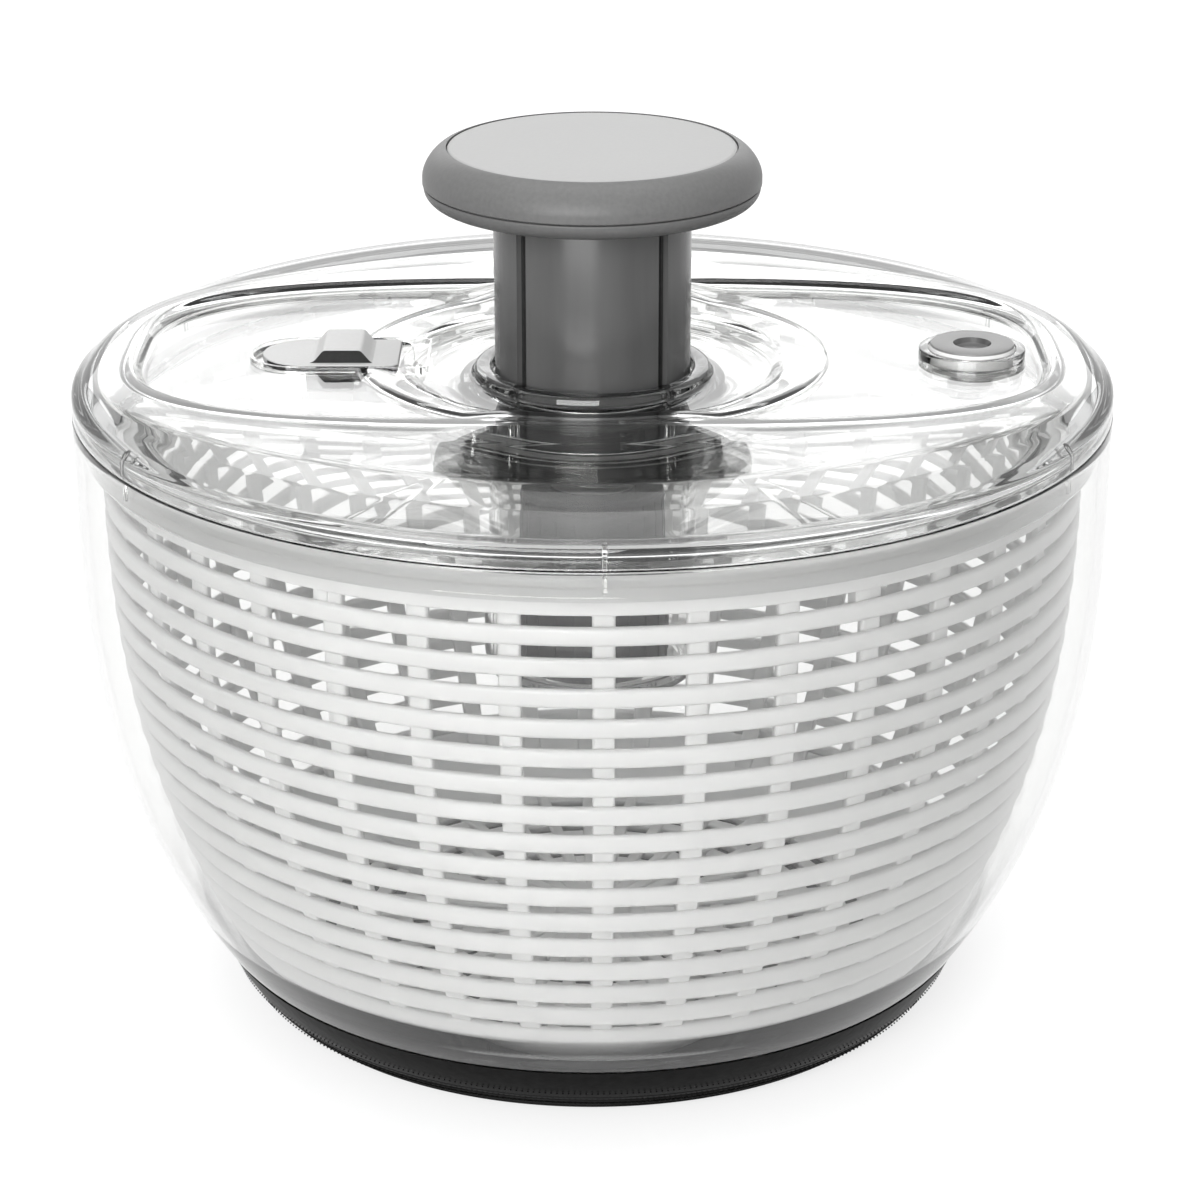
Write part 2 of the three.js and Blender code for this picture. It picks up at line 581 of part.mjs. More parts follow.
function makeDriveDisc() {
  const hubBore = DISC_HUB_R - HUB_WALL;
  const webZ = HUB_WEB_TOP - HUB_WALL;
  const body = turned([
    [0, CUP_Z], [CUP_R - 4, CUP_Z], [CUP_R - 1.2, CUP_Z + 1.2], [CUP_R, CUP_Z + 4], [CUP_R, webZ],
    [DISC_HUB_R, webZ], [DISC_HUB_R, DISC_Z], [DISC_R, DISC_Z],
    [DISC_R, DISC_TOP + 2.4], [DISC_R - 2, DISC_TOP + 2.4], [DISC_R - 2, DISC_TOP],
    [BOSS_R + RUN, DISC_TOP], [BOSS_R + RUN, DISC_Z], [hubBore, DISC_Z], [hubBore, HUB_WEB_TOP],
    [CUP_BORE_R, HUB_WEB_TOP], [CUP_BORE_R, CUP_FLOOR + 2.5], [CUP_BORE_R - 2.5, CUP_FLOOR], [0, CUP_FLOOR],
  ]);
  const inner = BASKET_R - BASKET_WALL - DOG_D - RUN;
  const notches = around(DOG_COUNT, 0, () =>
    box(inner, DISC_R + 1, -DOG_W / 2 - RUN, DOG_W / 2 + RUN, DISC_Z - 1, DISC_TOP + 4));
  const holes = holesAt(clutchScrewPlaces(), FINE_HOLE_R, CUP_Z - 1, CUP_FLOOR + 1);
  return cut(body, [...notches, ...holes]);
}

// inner contour of the clutch ring: three ramps that the rollers wedge into
function rampContour() {
  const land = CLUTCH_HUB_R + 2.3;
  const deep = CLUTCH_HUB_R + 2 * ROLLER_R + 2 * FIT + 1.5;
  const path = new THREE.Path();
  for (let k = 0; k < 3; k++) {
    const start = 60 + 120 * k;
    [[0, deep], [15, lerp(deep, land, 0.22)], [30, lerp(deep, land, 0.45)], [45, lerp(deep, land, 0.7)],
      [62, land], [80, land], [100, land], [117, land]].forEach(([deg, r], i) => {
      const [x, y] = polar(r, start + deg - 30);
      if (k === 0 && i === 0) path.moveTo(x, y);
      else path.lineTo(x, y);
    });
  }
  path.closePath();
  return path;
}

function makeClutchRing() {
  const shape = new THREE.Shape();
  shape.absarc(0, 0, CLUTCH_R, 0, 2 * Math.PI, false);
  shape.holes.push(rampContour());
  const body = raised(shape, CLUTCH_Z, CLUTCH_Z + CLUTCH_H, 12);
  const holes = holesAt(clutchScrewPlaces(), FINE_HOLE_R, CLUTCH_Z - 1, CLUTCH_Z + CLUTCH_H + 1);
  return cut(body, holes);
}

function makeClutchCap() {
  const top = CLUTCH_CAP_Z + CLUTCH_CAP_T;
  const plate = ring(JOURNAL_R + 0.8, CLUTCH_R, CLUTCH_CAP_Z, top, SMALL_SEGMENTS);
  const holes = holesAt(clutchScrewPlaces(), FINE_HOLE_R, CLUTCH_CAP_Z - 1, top + 1);
  return cut(plate, holes);
}

const hubZ = CLUTCH_Z + 5;
const hubTop = CLUTCH_Z + CLUTCH_H - 2.4;

function makeRoller(i) {
  const [x, y] = polar(CLUTCH_HUB_R + ROLLER_R + FIT, 48 + 120 * i);
  return disc(ROLLER_R, hubZ + 0.5, hubTop - 0.5, SCREW_SEGMENTS).translate([x, y, 0]);
}

// ---- spindle ----------------------------------------------------------------------------------------
function makeSpindle() {
  const collarZ = hubTop + FIT;
  const collarTop = CLUTCH_Z + CLUTCH_H - FIT;
  const journal = turned([
    [0, CLUTCH_Z + FIT], [JOURNAL_R, CLUTCH_Z + FIT], [JOURNAL_R, collarZ], [CLUTCH_HUB_R, collarZ],
    [CLUTCH_HUB_R, collarTop], [JOURNAL_R, collarTop], [JOURNAL_R, SPRING_Z], [0, SPRING_Z],
  ], SMALL_SEGMENTS);
  return join([journal, twistedBar(SPINDLE_W, SPINDLE_T, SPRING_Z - 2, SPINDLE_TOP)]);
}

// ---- plunger and knob -------------------------------------------------------------------------------
function knobScrewPlaces() {
  return [30, 150, 270].map((deg) => polar(PLUNGER_BORE - 6.7, deg));
}

function nutScrewPlaces() {
  return [45, 225].map((deg) => polar(NUT_R - 4.9, deg));
}

function makePlungerTube() {
  const top = KNOB_Z - FIT;
  const webZ = NUT_TOP + FIT;
  const tube = turnedRing([
    [PLUNGER_BORE, PLUNGER_Z], [PLUNGER_R - 0.6, PLUNGER_Z], [PLUNGER_R, PLUNGER_Z + 0.8], [PLUNGER_R, top],
    [8, top], [8, top - TOP_PLATE_T], [PLUNGER_BORE, top - TOP_PLATE_T],
    [PLUNGER_BORE, webZ + 2.5], [8, webZ + 2.5], [8, webZ], [PLUNGER_BORE, webZ],
  ]);
  const keyways = around(4, 45, () =>
    box(PLUNGER_R - KEY_D, PLUNGER_R + 2, -KEY_W / 2, KEY_W / 2, PLUNGER_Z - 1, KNOB_Z - 1.5));
  const windows = around(4, 22, () =>
    box(PLUNGER_BORE - 1, PLUNGER_R + 1, -3, 3, PLUNGER_Z + WINDOW_RISE, PLUNGER_Z + WINDOW_RISE + 9));
  const grooveR = PLUNGER_R - TONGUE_BITE - FIT;
  const notchZ = TONGUE_Z + STROKE;
  const half = TONGUE_HALF + FIT;
  const groove = box(-PLUNGER_R - 2, -grooveR, -half, half, PLUNGER_Z - 1, notchZ - 6.5);
  const notch = box(-PLUNGER_R - 2, -grooveR, -half, half, notchZ - FIT, notchZ + TONGUE_H + FIT);
  const knobHoles = holesAt(knobScrewPlaces(), WIDE_HOLE_R, top - TOP_PLATE_T - 1, top + 1);
  const nutHoles = holesAt(nutScrewPlaces(), WIDE_HOLE_R, webZ - 1, webZ + 4);
  return cut(tube, [...keyways, ...windows, groove, notch, ...knobHoles, ...nutHoles]);
}

function makeNut() {
  const body = disc(NUT_R, NUT_Z, NUT_TOP);
  const slot = twistedBar(SPINDLE_W + 2 * NUT_CLEAR, SPINDLE_T + 2 * NUT_CLEAR, NUT_Z - 2, NUT_TOP + 2);
  const holes = holesAt(nutScrewPlaces(), WIDE_HOLE_R, NUT_Z - 1, NUT_TOP + 1);
  return cut(body, [slot, ...holes]);
}

function makeKnobBase() {
  const split = KNOB_Z + KNOB_SPLIT - 0.4;
  const plate = KNOB_Z + 2.5;
  const body = turnedRing([
    [8, KNOB_Z], [KNOB_R - 5, KNOB_Z], [KNOB_R - 2, KNOB_Z + 0.9], [KNOB_R - 0.6, KNOB_Z + 2.8],
    [KNOB_R - 0.2, split], [KNOB_R - KNOB_WALL - FIT, split],
    [KNOB_R - KNOB_WALL - FIT, split + 2], [KNOB_R - KNOB_WALL - 2, split + 2],
    [KNOB_R - KNOB_WALL - 2, plate], [8, plate],
  ], KNOB_SEGMENTS);
  const holes = holesAt(knobScrewPlaces(), WIDE_HOLE_R, KNOB_Z - 1, plate + 1);
  return cut(body, holes);
}

function makeKnobRim() {
  const split = KNOB_Z + KNOB_SPLIT;
  const seat = KNOB_TOP - CAP_T - FIT;
  const bend = new THREE.EllipseCurve(
    KNOB_CAP_R, KNOB_Z + 7, KNOB_R - KNOB_CAP_R, KNOB_H - 7.2, 0, Math.PI / 2.2);
  const outside = bend.getPoints(5).map((p) => [p.x, p.y]);
  return turnedRing([
    [KNOB_R - KNOB_WALL, split], [KNOB_R - 0.1, split], ...outside,
    [KNOB_CAP_R + FIT, KNOB_TOP - 0.2], [KNOB_CAP_R + FIT, seat], [KNOB_CAP_R - 2, seat],
    [KNOB_CAP_R - 2, seat - 1.8], [KNOB_R - KNOB_WALL - 1.2, seat - 2.4],
    [KNOB_R - KNOB_WALL, split + 2.2],
  ], KNOB_SEGMENTS);
}

function makeKnobCap() {
  const under = KNOB_TOP - CAP_T;
  return turned([
    [0, under], [KNOB_CAP_R, under], [KNOB_CAP_R, KNOB_TOP - 0.7], [KNOB_CAP_R - 1, KNOB_TOP - 0.2],
    [KNOB_CAP_R * 0.6, KNOB_TOP], [0, KNOB_TOP],
  ], KNOB_SEGMENTS);
}

// ---- brake and lock ---------------------------------------------------------------------------------
function makeBrakeButton() {
  const top = BRAKE_COLLAR_Z + 1.3;
  const body = turned([
    [0, BRAKE_PAD_Z + 1.6], [BRAKE_STEM_R, BRAKE_PAD_Z + 1.6], [BRAKE_STEM_R, top - 2.6],
    [BRAKE_R - 1.6, top - 2.6], [BRAKE_R - 1.6, top - 8.2], [BRAKE_R, top - 8.2],
    [BRAKE_R, top - 0.8], [BRAKE_R - 0.8, top], [4.2, top], [3, top - 0.6], [0, top - 0.8],
  ], SMALL_SEGMENTS);
  return body.translate([BRAKE_X, 0, 0]);
}

function makeBrakePad() {
  const top = BRAKE_PAD_Z + BRAKE_PAD_H;
  const seat = BRAKE_PAD_Z + 1.6 - FIT;
  const hole = BRAKE_STEM_R + FIT;
  const body = turned([
    [0, BRAKE_PAD_Z], [5.4, BRAKE_PAD_Z], [6, BRAKE_PAD_Z + 0.6], [6, top],
    [hole, top], [hole, seat], [0, seat],
  ], SMALL_SEGMENTS);
  return body.translate([BRAKE_X, 0, 0]);
}

function makeButtonSpring() {
  const z0 = BRAKE_FLOOR_Z + BRAKE_FLOOR_T + FIT / 2;
  const z1 = BRAKE_COLLAR_Z + 1.3 - 2.6 - FIT / 2;
  return coil(5.6, 0.9, 4, z0, z1).translate([BRAKE_X, 0, 0]);
}

function makeLockSlider() {
  const pad = raised(padOutline(LOCK_X, LOCK_X + LOCK_L, LOCK_HALF), LOCK_PAD_Z, LOCK_PAD_TOP);
  const gripX = LOCK_X + LOCK_GRIP_IN;
  const side = new THREE.Shape([
    v2(gripX, 0), v2(gripX + 16, 0), v2(gripX + 13.1, LOCK_GRIP_H + 0.5), v2(gripX + 3.9, LOCK_GRIP_H + 0.5),
  ]);
  const gripHalf = LOCK_HALF - 1.9;
  const gripSolid = new THREE.ExtrudeGeometry(side, { depth: 2 * gripHalf, bevelEnabled: false });
  const grip = solid(gripSolid.rotateX(Math.PI / 2).translate(0, gripHalf, LOCK_PAD_TOP - 0.5));
  const neckZ = TONGUE_Z + TONGUE_H + FIT;
  const neck = box(NECK_X, NECK_X + NECK_L, -NECK_HALF, NECK_HALF, neckZ, LOCK_PAD_Z + 0.5);
  const peg = disc(2, TONGUE_Z + 0.8, neckZ + 0.5, 12).translate([NECK_X + NECK_L / 2, 0, 0]);
  return join([pad, grip, neck, peg]);
}

function makeLockTongue() {
  const arm = box(NECK_X, -TONGUE_TIP, -TONGUE_HALF, TONGUE_HALF, TONGUE_Z, TONGUE_Z + TONGUE_H);
  const foot = box(NECK_X, NECK_X + NECK_L, -NECK_HALF, NECK_HALF, TONGUE_Z, TONGUE_Z + TONGUE_H);
  const hole = disc(2 + FIT, TONGUE_Z - 1, TONGUE_Z + TONGUE_H + 1, 12);
  return join([arm, foot]).subtract(hole.translate([NECK_X + NECK_L / 2, 0, 0]));
}

// ---- finishes and assembly --------------------------------------------------------------------------
const finish = (color, roughness, metalness = 0, opacity = 1) =>
  ({ color, roughness, metalness, opacity, transparent: opacity < 1 });
const CLEAR = finish(0xeef1f2, 0.05, 0, 0.35);
const WHITE = finish(0xe8e8e6, 0.4);
const DARK_RUBBER = finish(0x2b2b2c, 0.7);
const COLUMN_GREY = finish(0x5a5a5b, 0.4);
const RIM_GREY = finish(0x757576, 0.5);
const CAP_GREY = finish(0xc4c4c4, 0.55);
const DARK_PLASTIC = finish(0x3a3a3b, 0.4);
const NYLON = finish(0xdcdad2, 0.5);
const STEEL = finish(0xb8babd, 0.3, 1);

const group = new THREE.Group();

function add(name, body, look) {
  const mesh = new THREE.Mesh(toGeometry(body), new THREE.MeshStandardMaterial(look));
  mesh.name = name;
  group.add(mesh);
}

add('bowl', makeBowl(), CLEAR);
add('non_slip_base', makeBase(), DARK_RUBBER);
add('basket', makeBasket(), WHITE);

add('lid_shell', makeLid(), CLEAR);
add('disc_retainer', makeRetainer(), DARK_PLASTIC);
retainerScrewPlaces().forEach(([x, y], i) => {
  const head = RETAINER_TOP - RETAINER_T - FIT;
  add(`retainer_screw_${i + 1}`, screw(x, y, head, -1, 2.4, HEAD_H, 1.1, 9), STEEL);
});

add('drive_disc', makeDriveDisc(), CLEAR);
add('thrust_washer', ring(BOSS_R + 2 * FIT, RETAINER_R - FIT, WASHER_Z, WASHER_Z + WASHER_T, 32), NYLON);
add('clutch_ring', makeClutchRing(), DARK_PLASTIC);
add('clutch_cap', makeClutchCap(), DARK_PLASTIC);
add('spring_seat', ring(JOURNAL_R + 0.8, SPRING_R + 2, SEAT_Z, SEAT_Z + SEAT_T, SMALL_SEGMENTS), NYLON);
for (let i = 0; i < 3; i++) add(`clutch_roller_${i + 1}`, makeRoller(i), STEEL);
clutchScrewPlaces().forEach(([x, y], i) => {
  const length = CLUTCH_CAP_Z + CLUTCH_CAP_T - CUP_Z;
  add(`clutch_screw_${i + 1}`, screw(x, y, CUP_Z - FIT, -1, 2, 1, 0.9, length), STEEL);
});

add('spiral_spindle', makeSpindle(), STEEL);
add('clutch_hub', ring(JOURNAL_R + FIT, CLUTCH_HUB_R, hubZ, hubTop, SMALL_SEGMENTS), STEEL);

add('plunger_tube', makePlungerTube(), COLUMN_GREY);
add('drive_nut', makeNut(), NYLON);
nutScrewPlaces().forEach(([x, y], i) => {
  add(`nut_screw_${i + 1}`, screw(x, y, NUT_Z - FIT, -1, 2.6, 1.2, 1.2, NUT_H + 2.2), STEEL);
});
add('return_spring', coil(SPRING_R, SPRING_WIRE, SPRING_COILS, SPRING_Z, NUT_Z), STEEL);
add('knob_base', makeKnobBase(), RIM_GREY);
add('knob_rim', makeKnobRim(), RIM_GREY);
add('knob_cap', makeKnobCap(), CAP_GREY);
knobScrewPlaces().forEach(([x, y], i) => {
  add(`knob_screw_${i + 1}`, screw(x, y, KNOB_Z + 2.5 + FIT, 1, 2.6, 1.4, 1.2, 5), STEEL);
});

add('brake_button', makeBrakeButton(), RIM_GREY);
add('brake_pad', makeBrakePad(), DARK_RUBBER);
add('button_spring', makeButtonSpring(), STEEL);

add('lock_slider', makeLockSlider(), CAP_GREY);
add('lock_tongue', makeLockTongue(), DARK_PLASTIC);

export default group;
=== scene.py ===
"""Pump-action salad spinner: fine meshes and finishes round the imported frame."""
import math

import bmesh
import bpy
from mathutils import Matrix, Vector


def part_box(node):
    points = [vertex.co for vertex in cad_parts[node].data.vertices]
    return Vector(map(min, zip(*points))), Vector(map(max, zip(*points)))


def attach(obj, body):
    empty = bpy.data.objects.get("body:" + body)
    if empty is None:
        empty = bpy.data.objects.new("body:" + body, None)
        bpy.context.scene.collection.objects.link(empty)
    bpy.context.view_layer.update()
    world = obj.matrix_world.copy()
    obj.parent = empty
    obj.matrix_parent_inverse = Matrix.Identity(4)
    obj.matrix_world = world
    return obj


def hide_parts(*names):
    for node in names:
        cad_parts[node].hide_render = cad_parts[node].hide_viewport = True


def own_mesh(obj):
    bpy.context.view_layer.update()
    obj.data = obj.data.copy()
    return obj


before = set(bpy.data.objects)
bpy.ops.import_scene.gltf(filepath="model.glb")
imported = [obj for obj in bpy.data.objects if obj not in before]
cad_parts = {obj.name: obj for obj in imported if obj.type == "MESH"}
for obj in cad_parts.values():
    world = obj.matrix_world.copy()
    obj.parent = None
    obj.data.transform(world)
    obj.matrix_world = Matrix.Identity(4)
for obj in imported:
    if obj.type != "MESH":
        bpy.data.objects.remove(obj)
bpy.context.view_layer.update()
MM = 0.001

# ---- sizes in millimetres, from the frame and a few walls ----------------------------------------


def span(node):
    """Lowest and highest corner of a frame node, in millimetres."""
    low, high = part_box(node)
    return low / MM, high / MM


BOWL_HIGH = span("bowl")[1]
BASE_HIGH = span("non_slip_base")[1]
LID_HIGH = span("lid_shell")[1]
BASKET_LOW, BASKET_HIGH = span("basket")
CUP_LOW = span("drive_disc")[0]
TUBE_LOW, TUBE_HIGH = span("plunger_tube")
KNOB_LOW = span("knob_base")[0]
KNOB_HIGH = span("knob_cap")[1]
RETAINER_LOW, RETAINER_HIGH = span("disc_retainer")
PAD_LOW, PAD_HIGH = span("lock_slider")
BUTTON_LOW, BUTTON_HIGH = span("brake_button")

BOWL_R = BOWL_HIGH.x
RIM_Z = BOWL_HIGH.z
FOOT_Z = BASE_HIGH.z
FOOT_R = BOWL_R - 31.5
BELLY_Z = RIM_Z - 12.3
WALL = 2.6
BASE_T = 2.8
GAP = 0.3
BASKET_R = BOWL_R - 6.9
BASKET_TOP = BASKET_HIGH.z
SKIRT_Z = RIM_Z + GAP
CROWN_Z = LID_HIGH.z
PANEL_Z = CROWN_Z - 3.1
WELL_Z = PANEL_Z - 4.4
PANEL_A = BOWL_R - 15.3
PANEL_B = 60.5
CREST_R = 57.1
WELL_R = 45.2
COLLAR_R = 29.5
COLLAR_Z = WELL_Z + 2.9
PLUNGER_R = TUBE_HIGH.x
BORE_R = PLUNGER_R + 0.6
BOSS_R = BORE_R + 7
BOSS_Z = WELL_Z - 15
KNOB_R = span("knob_rim")[1].x
KNOB_CAP_R = span("knob_cap")[1].x
KNOB_Z = KNOB_LOW.z
KNOB_TOP = KNOB_HIGH.z
SPLIT_Z = KNOB_Z + 5
BRAKE_X = (BUTTON_LOW.x + BUTTON_HIGH.x) / 2
RIB_TURN = math.radians(1.3)      # ribs and locating marks sit a little round from the axes
FOOT_FLAT_R = 84.6                # where the foot starts to turn up
RIDGE_FLAT_R = 84.2
BEAD_FLAT_R = 84.9
DISC_UNDER_Z, DISC_TOP_Z = 148.1, 150.1
HOUSING_Z, HOUSING_FLOOR_Z = 156.4, 158.4     # the brake button's housing under the panel
NECK_CUT_Z = 155
ARM_SLOT_Z = 152.6, 156.8         # the lock arm's way through the lid's boss
LOCK_CUT_HALF = 3.3               # half width and depth of the column's cuts for the lock arm
LOCK_CUT_DEPTH = 2.1
NOTCH_Z = 193.9, 197.5
GROOVE_TOP = 187.7
TEETH_RISE = 2.2                  # middle of the column's teeth over the lock arm
WEB_Z = 173.5                     # web across the column
BUTTON_SPRING_KEEP = 0.7          # length left at full travel, as a share
RETURN_SPRING_KEEP = 0.219


# ---- mesh helpers --------------------------------------------------------------------------------


def put(name, mesh, material, smooth_deg=32):
    """A mesh as a piece, with its normals turned outwards and smooth where it is round."""
    piece = bpy.data.objects.new(name, mesh)
    bpy.context.scene.collection.objects.link(piece)
    mesh.materials.clear()
    mesh.materials.append(material)
    mesh.shade_smooth()
    mesh.set_sharp_from_angle(angle=math.radians(smooth_deg))
    return piece


def mesh_of(name, verts, faces):
    """Vertices in millimetres and faces as a mesh in metres, normals outwards."""
    mesh = bpy.data.meshes.new(name)
    mesh.from_pydata([Vector(v) * MM for v in verts], [], faces)
    bm = bmesh.new()
    bm.from_mesh(mesh)
    bmesh.ops.recalc_face_normals(bm, faces=bm.faces)
    bm.to_mesh(mesh)
    bm.free()
    return mesh


def rounded(points, radius, steps=4, closed=False):
    """An outline with each corner turned into an arc-like bend of about this radius."""
    count = len(points)
    out = []
    for i, point in enumerate(points):
        if not closed and i in (0, count - 1):
            out.append(tuple(point))
            continue
        here = Vector(point)
        before = Vector(points[i - 1]) - here
        after = Vector(points[(i + 1) % count]) - here
        reach_in = min(radius, before.length * 0.45)
        reach_out = min(radius, after.length * 0.45)
        start = here + before.normalized() * reach_in
        end = here + after.normalized() * reach_out
        for k in range(steps + 1):
            t = k / steps
            bend = start * (1 - t) ** 2 + here * 2 * t * (1 - t) + end * t * t
            out.append(tuple(bend))
    return out


def swept(name, section_at, segments):
    """A closed ring whose section, a loop of (radius, height), may change with the angle."""
    verts, faces = [], []
    for i in range(segments):
        angle = math.tau * i / segments
        section = section_at(angle)
        verts += [(r * math.cos(angle), r * math.sin(angle), z) for r, z in section]
    count = len(verts) // segments
    for i in range(segments):
        for k in range(count):
            a, b = i * count, (i + 1) % segments * count
            faces.append((a + k, b + k, b + (k + 1) % count, a + (k + 1) % count))
    return mesh_of(name, verts, faces)


def turned(name, points, segments=160):
    """A solid of revolution; its outline starts and ends on the axis, or closes on itself."""
    if points[0][0] > 1e-6:
        return swept(name, lambda angle: points, segments)
    body = points[1:-1]
    count = len(body)
    verts = [(0, 0, points[0][1]), (0, 0, points[-1][1])]
    for i in range(segments):
        angle = math.tau * i / segments
        verts += [(r * math.cos(angle), r * math.sin(angle), z) for r, z in body]
    faces = []
    for i in range(segments):
        a, b = 2 + i * count, 2 + (i + 1) % segments * count
        faces.append((0, b, a))
        faces += [(a + k, b + k, b + k + 1, a + k + 1) for k in range(count - 1)]
        faces.append((1, a + count - 1, b + count - 1))
    return mesh_of(name, verts, faces)


def moved(mesh, x=0.0, y=0.0, z=0.0):
    mesh.transform(Matrix.Translation(Vector((x, y, z)) * MM))
    return mesh


def joined(name, meshes):
    """Several meshes as one mesh."""
    bm = bmesh.new()
    for mesh in meshes:
        bm.from_mesh(mesh)
    whole = bpy.data.meshes.new(name)
    bm.to_mesh(whole)
    bm.free()
    return whole


def slab(x0, x1, y0, y1, z0, z1, bevel=0.0):
    """A box in millimetres with bevelled edges."""
    bm = bmesh.new()
    bmesh.ops.create_cube(bm, size=1)
    size = Vector((x1 - x0, y1 - y0, z1 - z0))
    middle = Vector((x0 + x1, y0 + y1, z0 + z1)) / 2
    bmesh.ops.transform(bm, matrix=Matrix.Translation(middle) @ Matrix.Diagonal((*size, 1)), verts=bm.verts)
    if bevel:
        bmesh.ops.bevel(bm, geom=bm.edges[:], offset=bevel, segments=3, profile=0.5, affect="EDGES")
    bmesh.ops.scale(bm, vec=(MM, MM, MM), verts=bm.verts)
    mesh = bpy.data.meshes.new("slab")
    bm.to_mesh(mesh)
    bm.free()
    return mesh


def prism(outline, z0, z1, bevel=0.0):
    """An outline in X and Y raised from z0 to z1, with its rims bevelled."""
    count = len(outline)
    verts = [(x, y, z0) for x, y in outline] + [(x, y, z1) for x, y in outline]
    faces = [tuple(range(count)), tuple(range(count, 2 * count))]
    faces += [(k, (k + 1) % count, count + (k + 1) % count, count + k) for k in range(count)]
    mesh = mesh_of("prism", verts, faces)
    if bevel:
        bm = bmesh.new()
        bm.from_mesh(mesh)
        caps = [e for e in bm.edges if abs(e.verts[0].co.z - e.verts[1].co.z) < 1e-7]
        bmesh.ops.bevel(bm, geom=caps, offset=bevel * MM, segments=3, profile=0.5, affect="EDGES")
        bm.to_mesh(mesh)
        bm.free()
    return mesh


def combined(mesh, tools):
    """A mesh after other meshes are cut out of it."""
    body = bpy.data.objects.new("body", mesh)
    bpy.context.scene.collection.objects.link(body)
    helpers = []
    for tool in tools:
        helper = bpy.data.objects.new("tool", tool)
        bpy.context.scene.collection.objects.link(helper)
        modifier = body.modifiers.new("cut", "BOOLEAN")
        modifier.object, modifier.operation, modifier.solver = helper, "DIFFERENCE", "EXACT"
        helpers.append(helper)
    graph = bpy.context.evaluated_depsgraph_get()
    result = bpy.data.meshes.new_from_object(body.evaluated_get(graph))
    for leftover in [body, *helpers]:
        bpy.data.objects.remove(leftover)
    return result


# ---- geometry nodes ------------------------------------------------------------------------------


class Tree:
    """A geometry-node tree with named sizes; it ends in Realize Instances and Set Material."""

    def __init__(self, name, **sizes):
        self.tree = bpy.data.node_groups.new(name, "GeometryNodeTree")
        self.sizes = sizes
        for label, value in sizes.items():
            kind = "NodeSocketInt" if isinstance(value, int) else "NodeSocketFloat"
            self.tree.interface.new_socket(label, in_out="INPUT", socket_type=kind)
        self.tree.interface.new_socket("Geometry", in_out="OUTPUT", socket_type="NodeSocketGeometry")
        self.given = self.tree.nodes.new("NodeGroupInput").outputs

    def add(self, kind, inputs=None, **settings):
        node = self.tree.nodes.new(kind)
        for key, value in settings.items():
            setattr(node, key, value)
        for key, value in (inputs or {}).items():
            if isinstance(value, bpy.types.NodeSocket):
                self.tree.links.new(value, node.inputs[key])
            else:
                node.inputs[key].default_value = value
        return node

    def out(self, kind, inputs=None, **settings):
        return self.add(kind, inputs, **settings).outputs[0]

    def math(self, operation, a, b=0.0, c=0.0):
        return self.out("ShaderNodeMath", {0: a, 1: b, 2: c}, operation=operation)

    def mm(self, label):
        """One of the tree's named sizes, turned from millimetres into metres."""
        return self.math("MULTIPLY", self.given[label], MM)

    def vector(self, x=0.0, y=0.0, z=0.0):
        return self.out("ShaderNodeCombineXYZ", {0: x, 1: y, 2: z})

    def height(self):
        split = self.add("ShaderNodeSeparateXYZ", {0: self.out("GeometryNodeInputPosition")})
        return split.outputs["Z"]

    def bar(self, width, height, fillet):
        """A rectangle profile with round corners."""
        outline = self.out("GeometryNodeCurvePrimitiveQuadrilateral", {"Width": width, "Height": height})
        rounded_off = {"Curve": outline, "Radius": fillet, "Count": 3, "Limit Radius": True}
        return self.out("GeometryNodeFilletCurve", rounded_off, mode="POLY")

    def sweep(self, curve, profile):
        ends = {"Curve": curve, "Profile Curve": profile, "Fill Caps": True}
        return self.out("GeometryNodeCurveToMesh", ends)

    def ring_of(self, shape, count, start=0.0):
        """Copies of a shape turned evenly about the axis."""
        points = self.out("GeometryNodeMeshLine", {"Count": count, "Offset": (0, 0, 0)})
        step = self.math("DIVIDE", math.tau, count)
        angle = self.math("MULTIPLY_ADD", self.out("GeometryNodeInputIndex"), step, start)
        turn = self.out("FunctionNodeEulerToRotation", {0: self.vector(z=angle)})
        return self.out("GeometryNodeInstanceOnPoints", {
            "Points": points, "Instance": shape, "Rotation": turn})

    def mesh(self, geometry, material):
        """The tree's result as a plain mesh."""
        plain = self.out("GeometryNodeRealizeInstances", {0: geometry})
        done = self.out("GeometryNodeSetMaterial", {"Geometry": plain, "Material": material})
        self.add("NodeGroupOutput", {0: done})
        holder = bpy.data.objects.new("holder", bpy.data.meshes.new("holder"))
        bpy.context.scene.collection.objects.link(holder)
        modifier = holder.modifiers.new("shape", "NODES")
        modifier.node_group = self.tree
        for item in self.tree.interface.items_tree:
            if item.in_out == "INPUT":
                modifier[item.identifier] = self.sizes[item.name]
        graph = bpy.context.evaluated_depsgraph_get()
        result = bpy.data.meshes.new_from_object(holder.evaluated_get(graph))
        bpy.data.objects.remove(holder)
        return result


# ---- finishes ------------------------------------------------------------------------------------


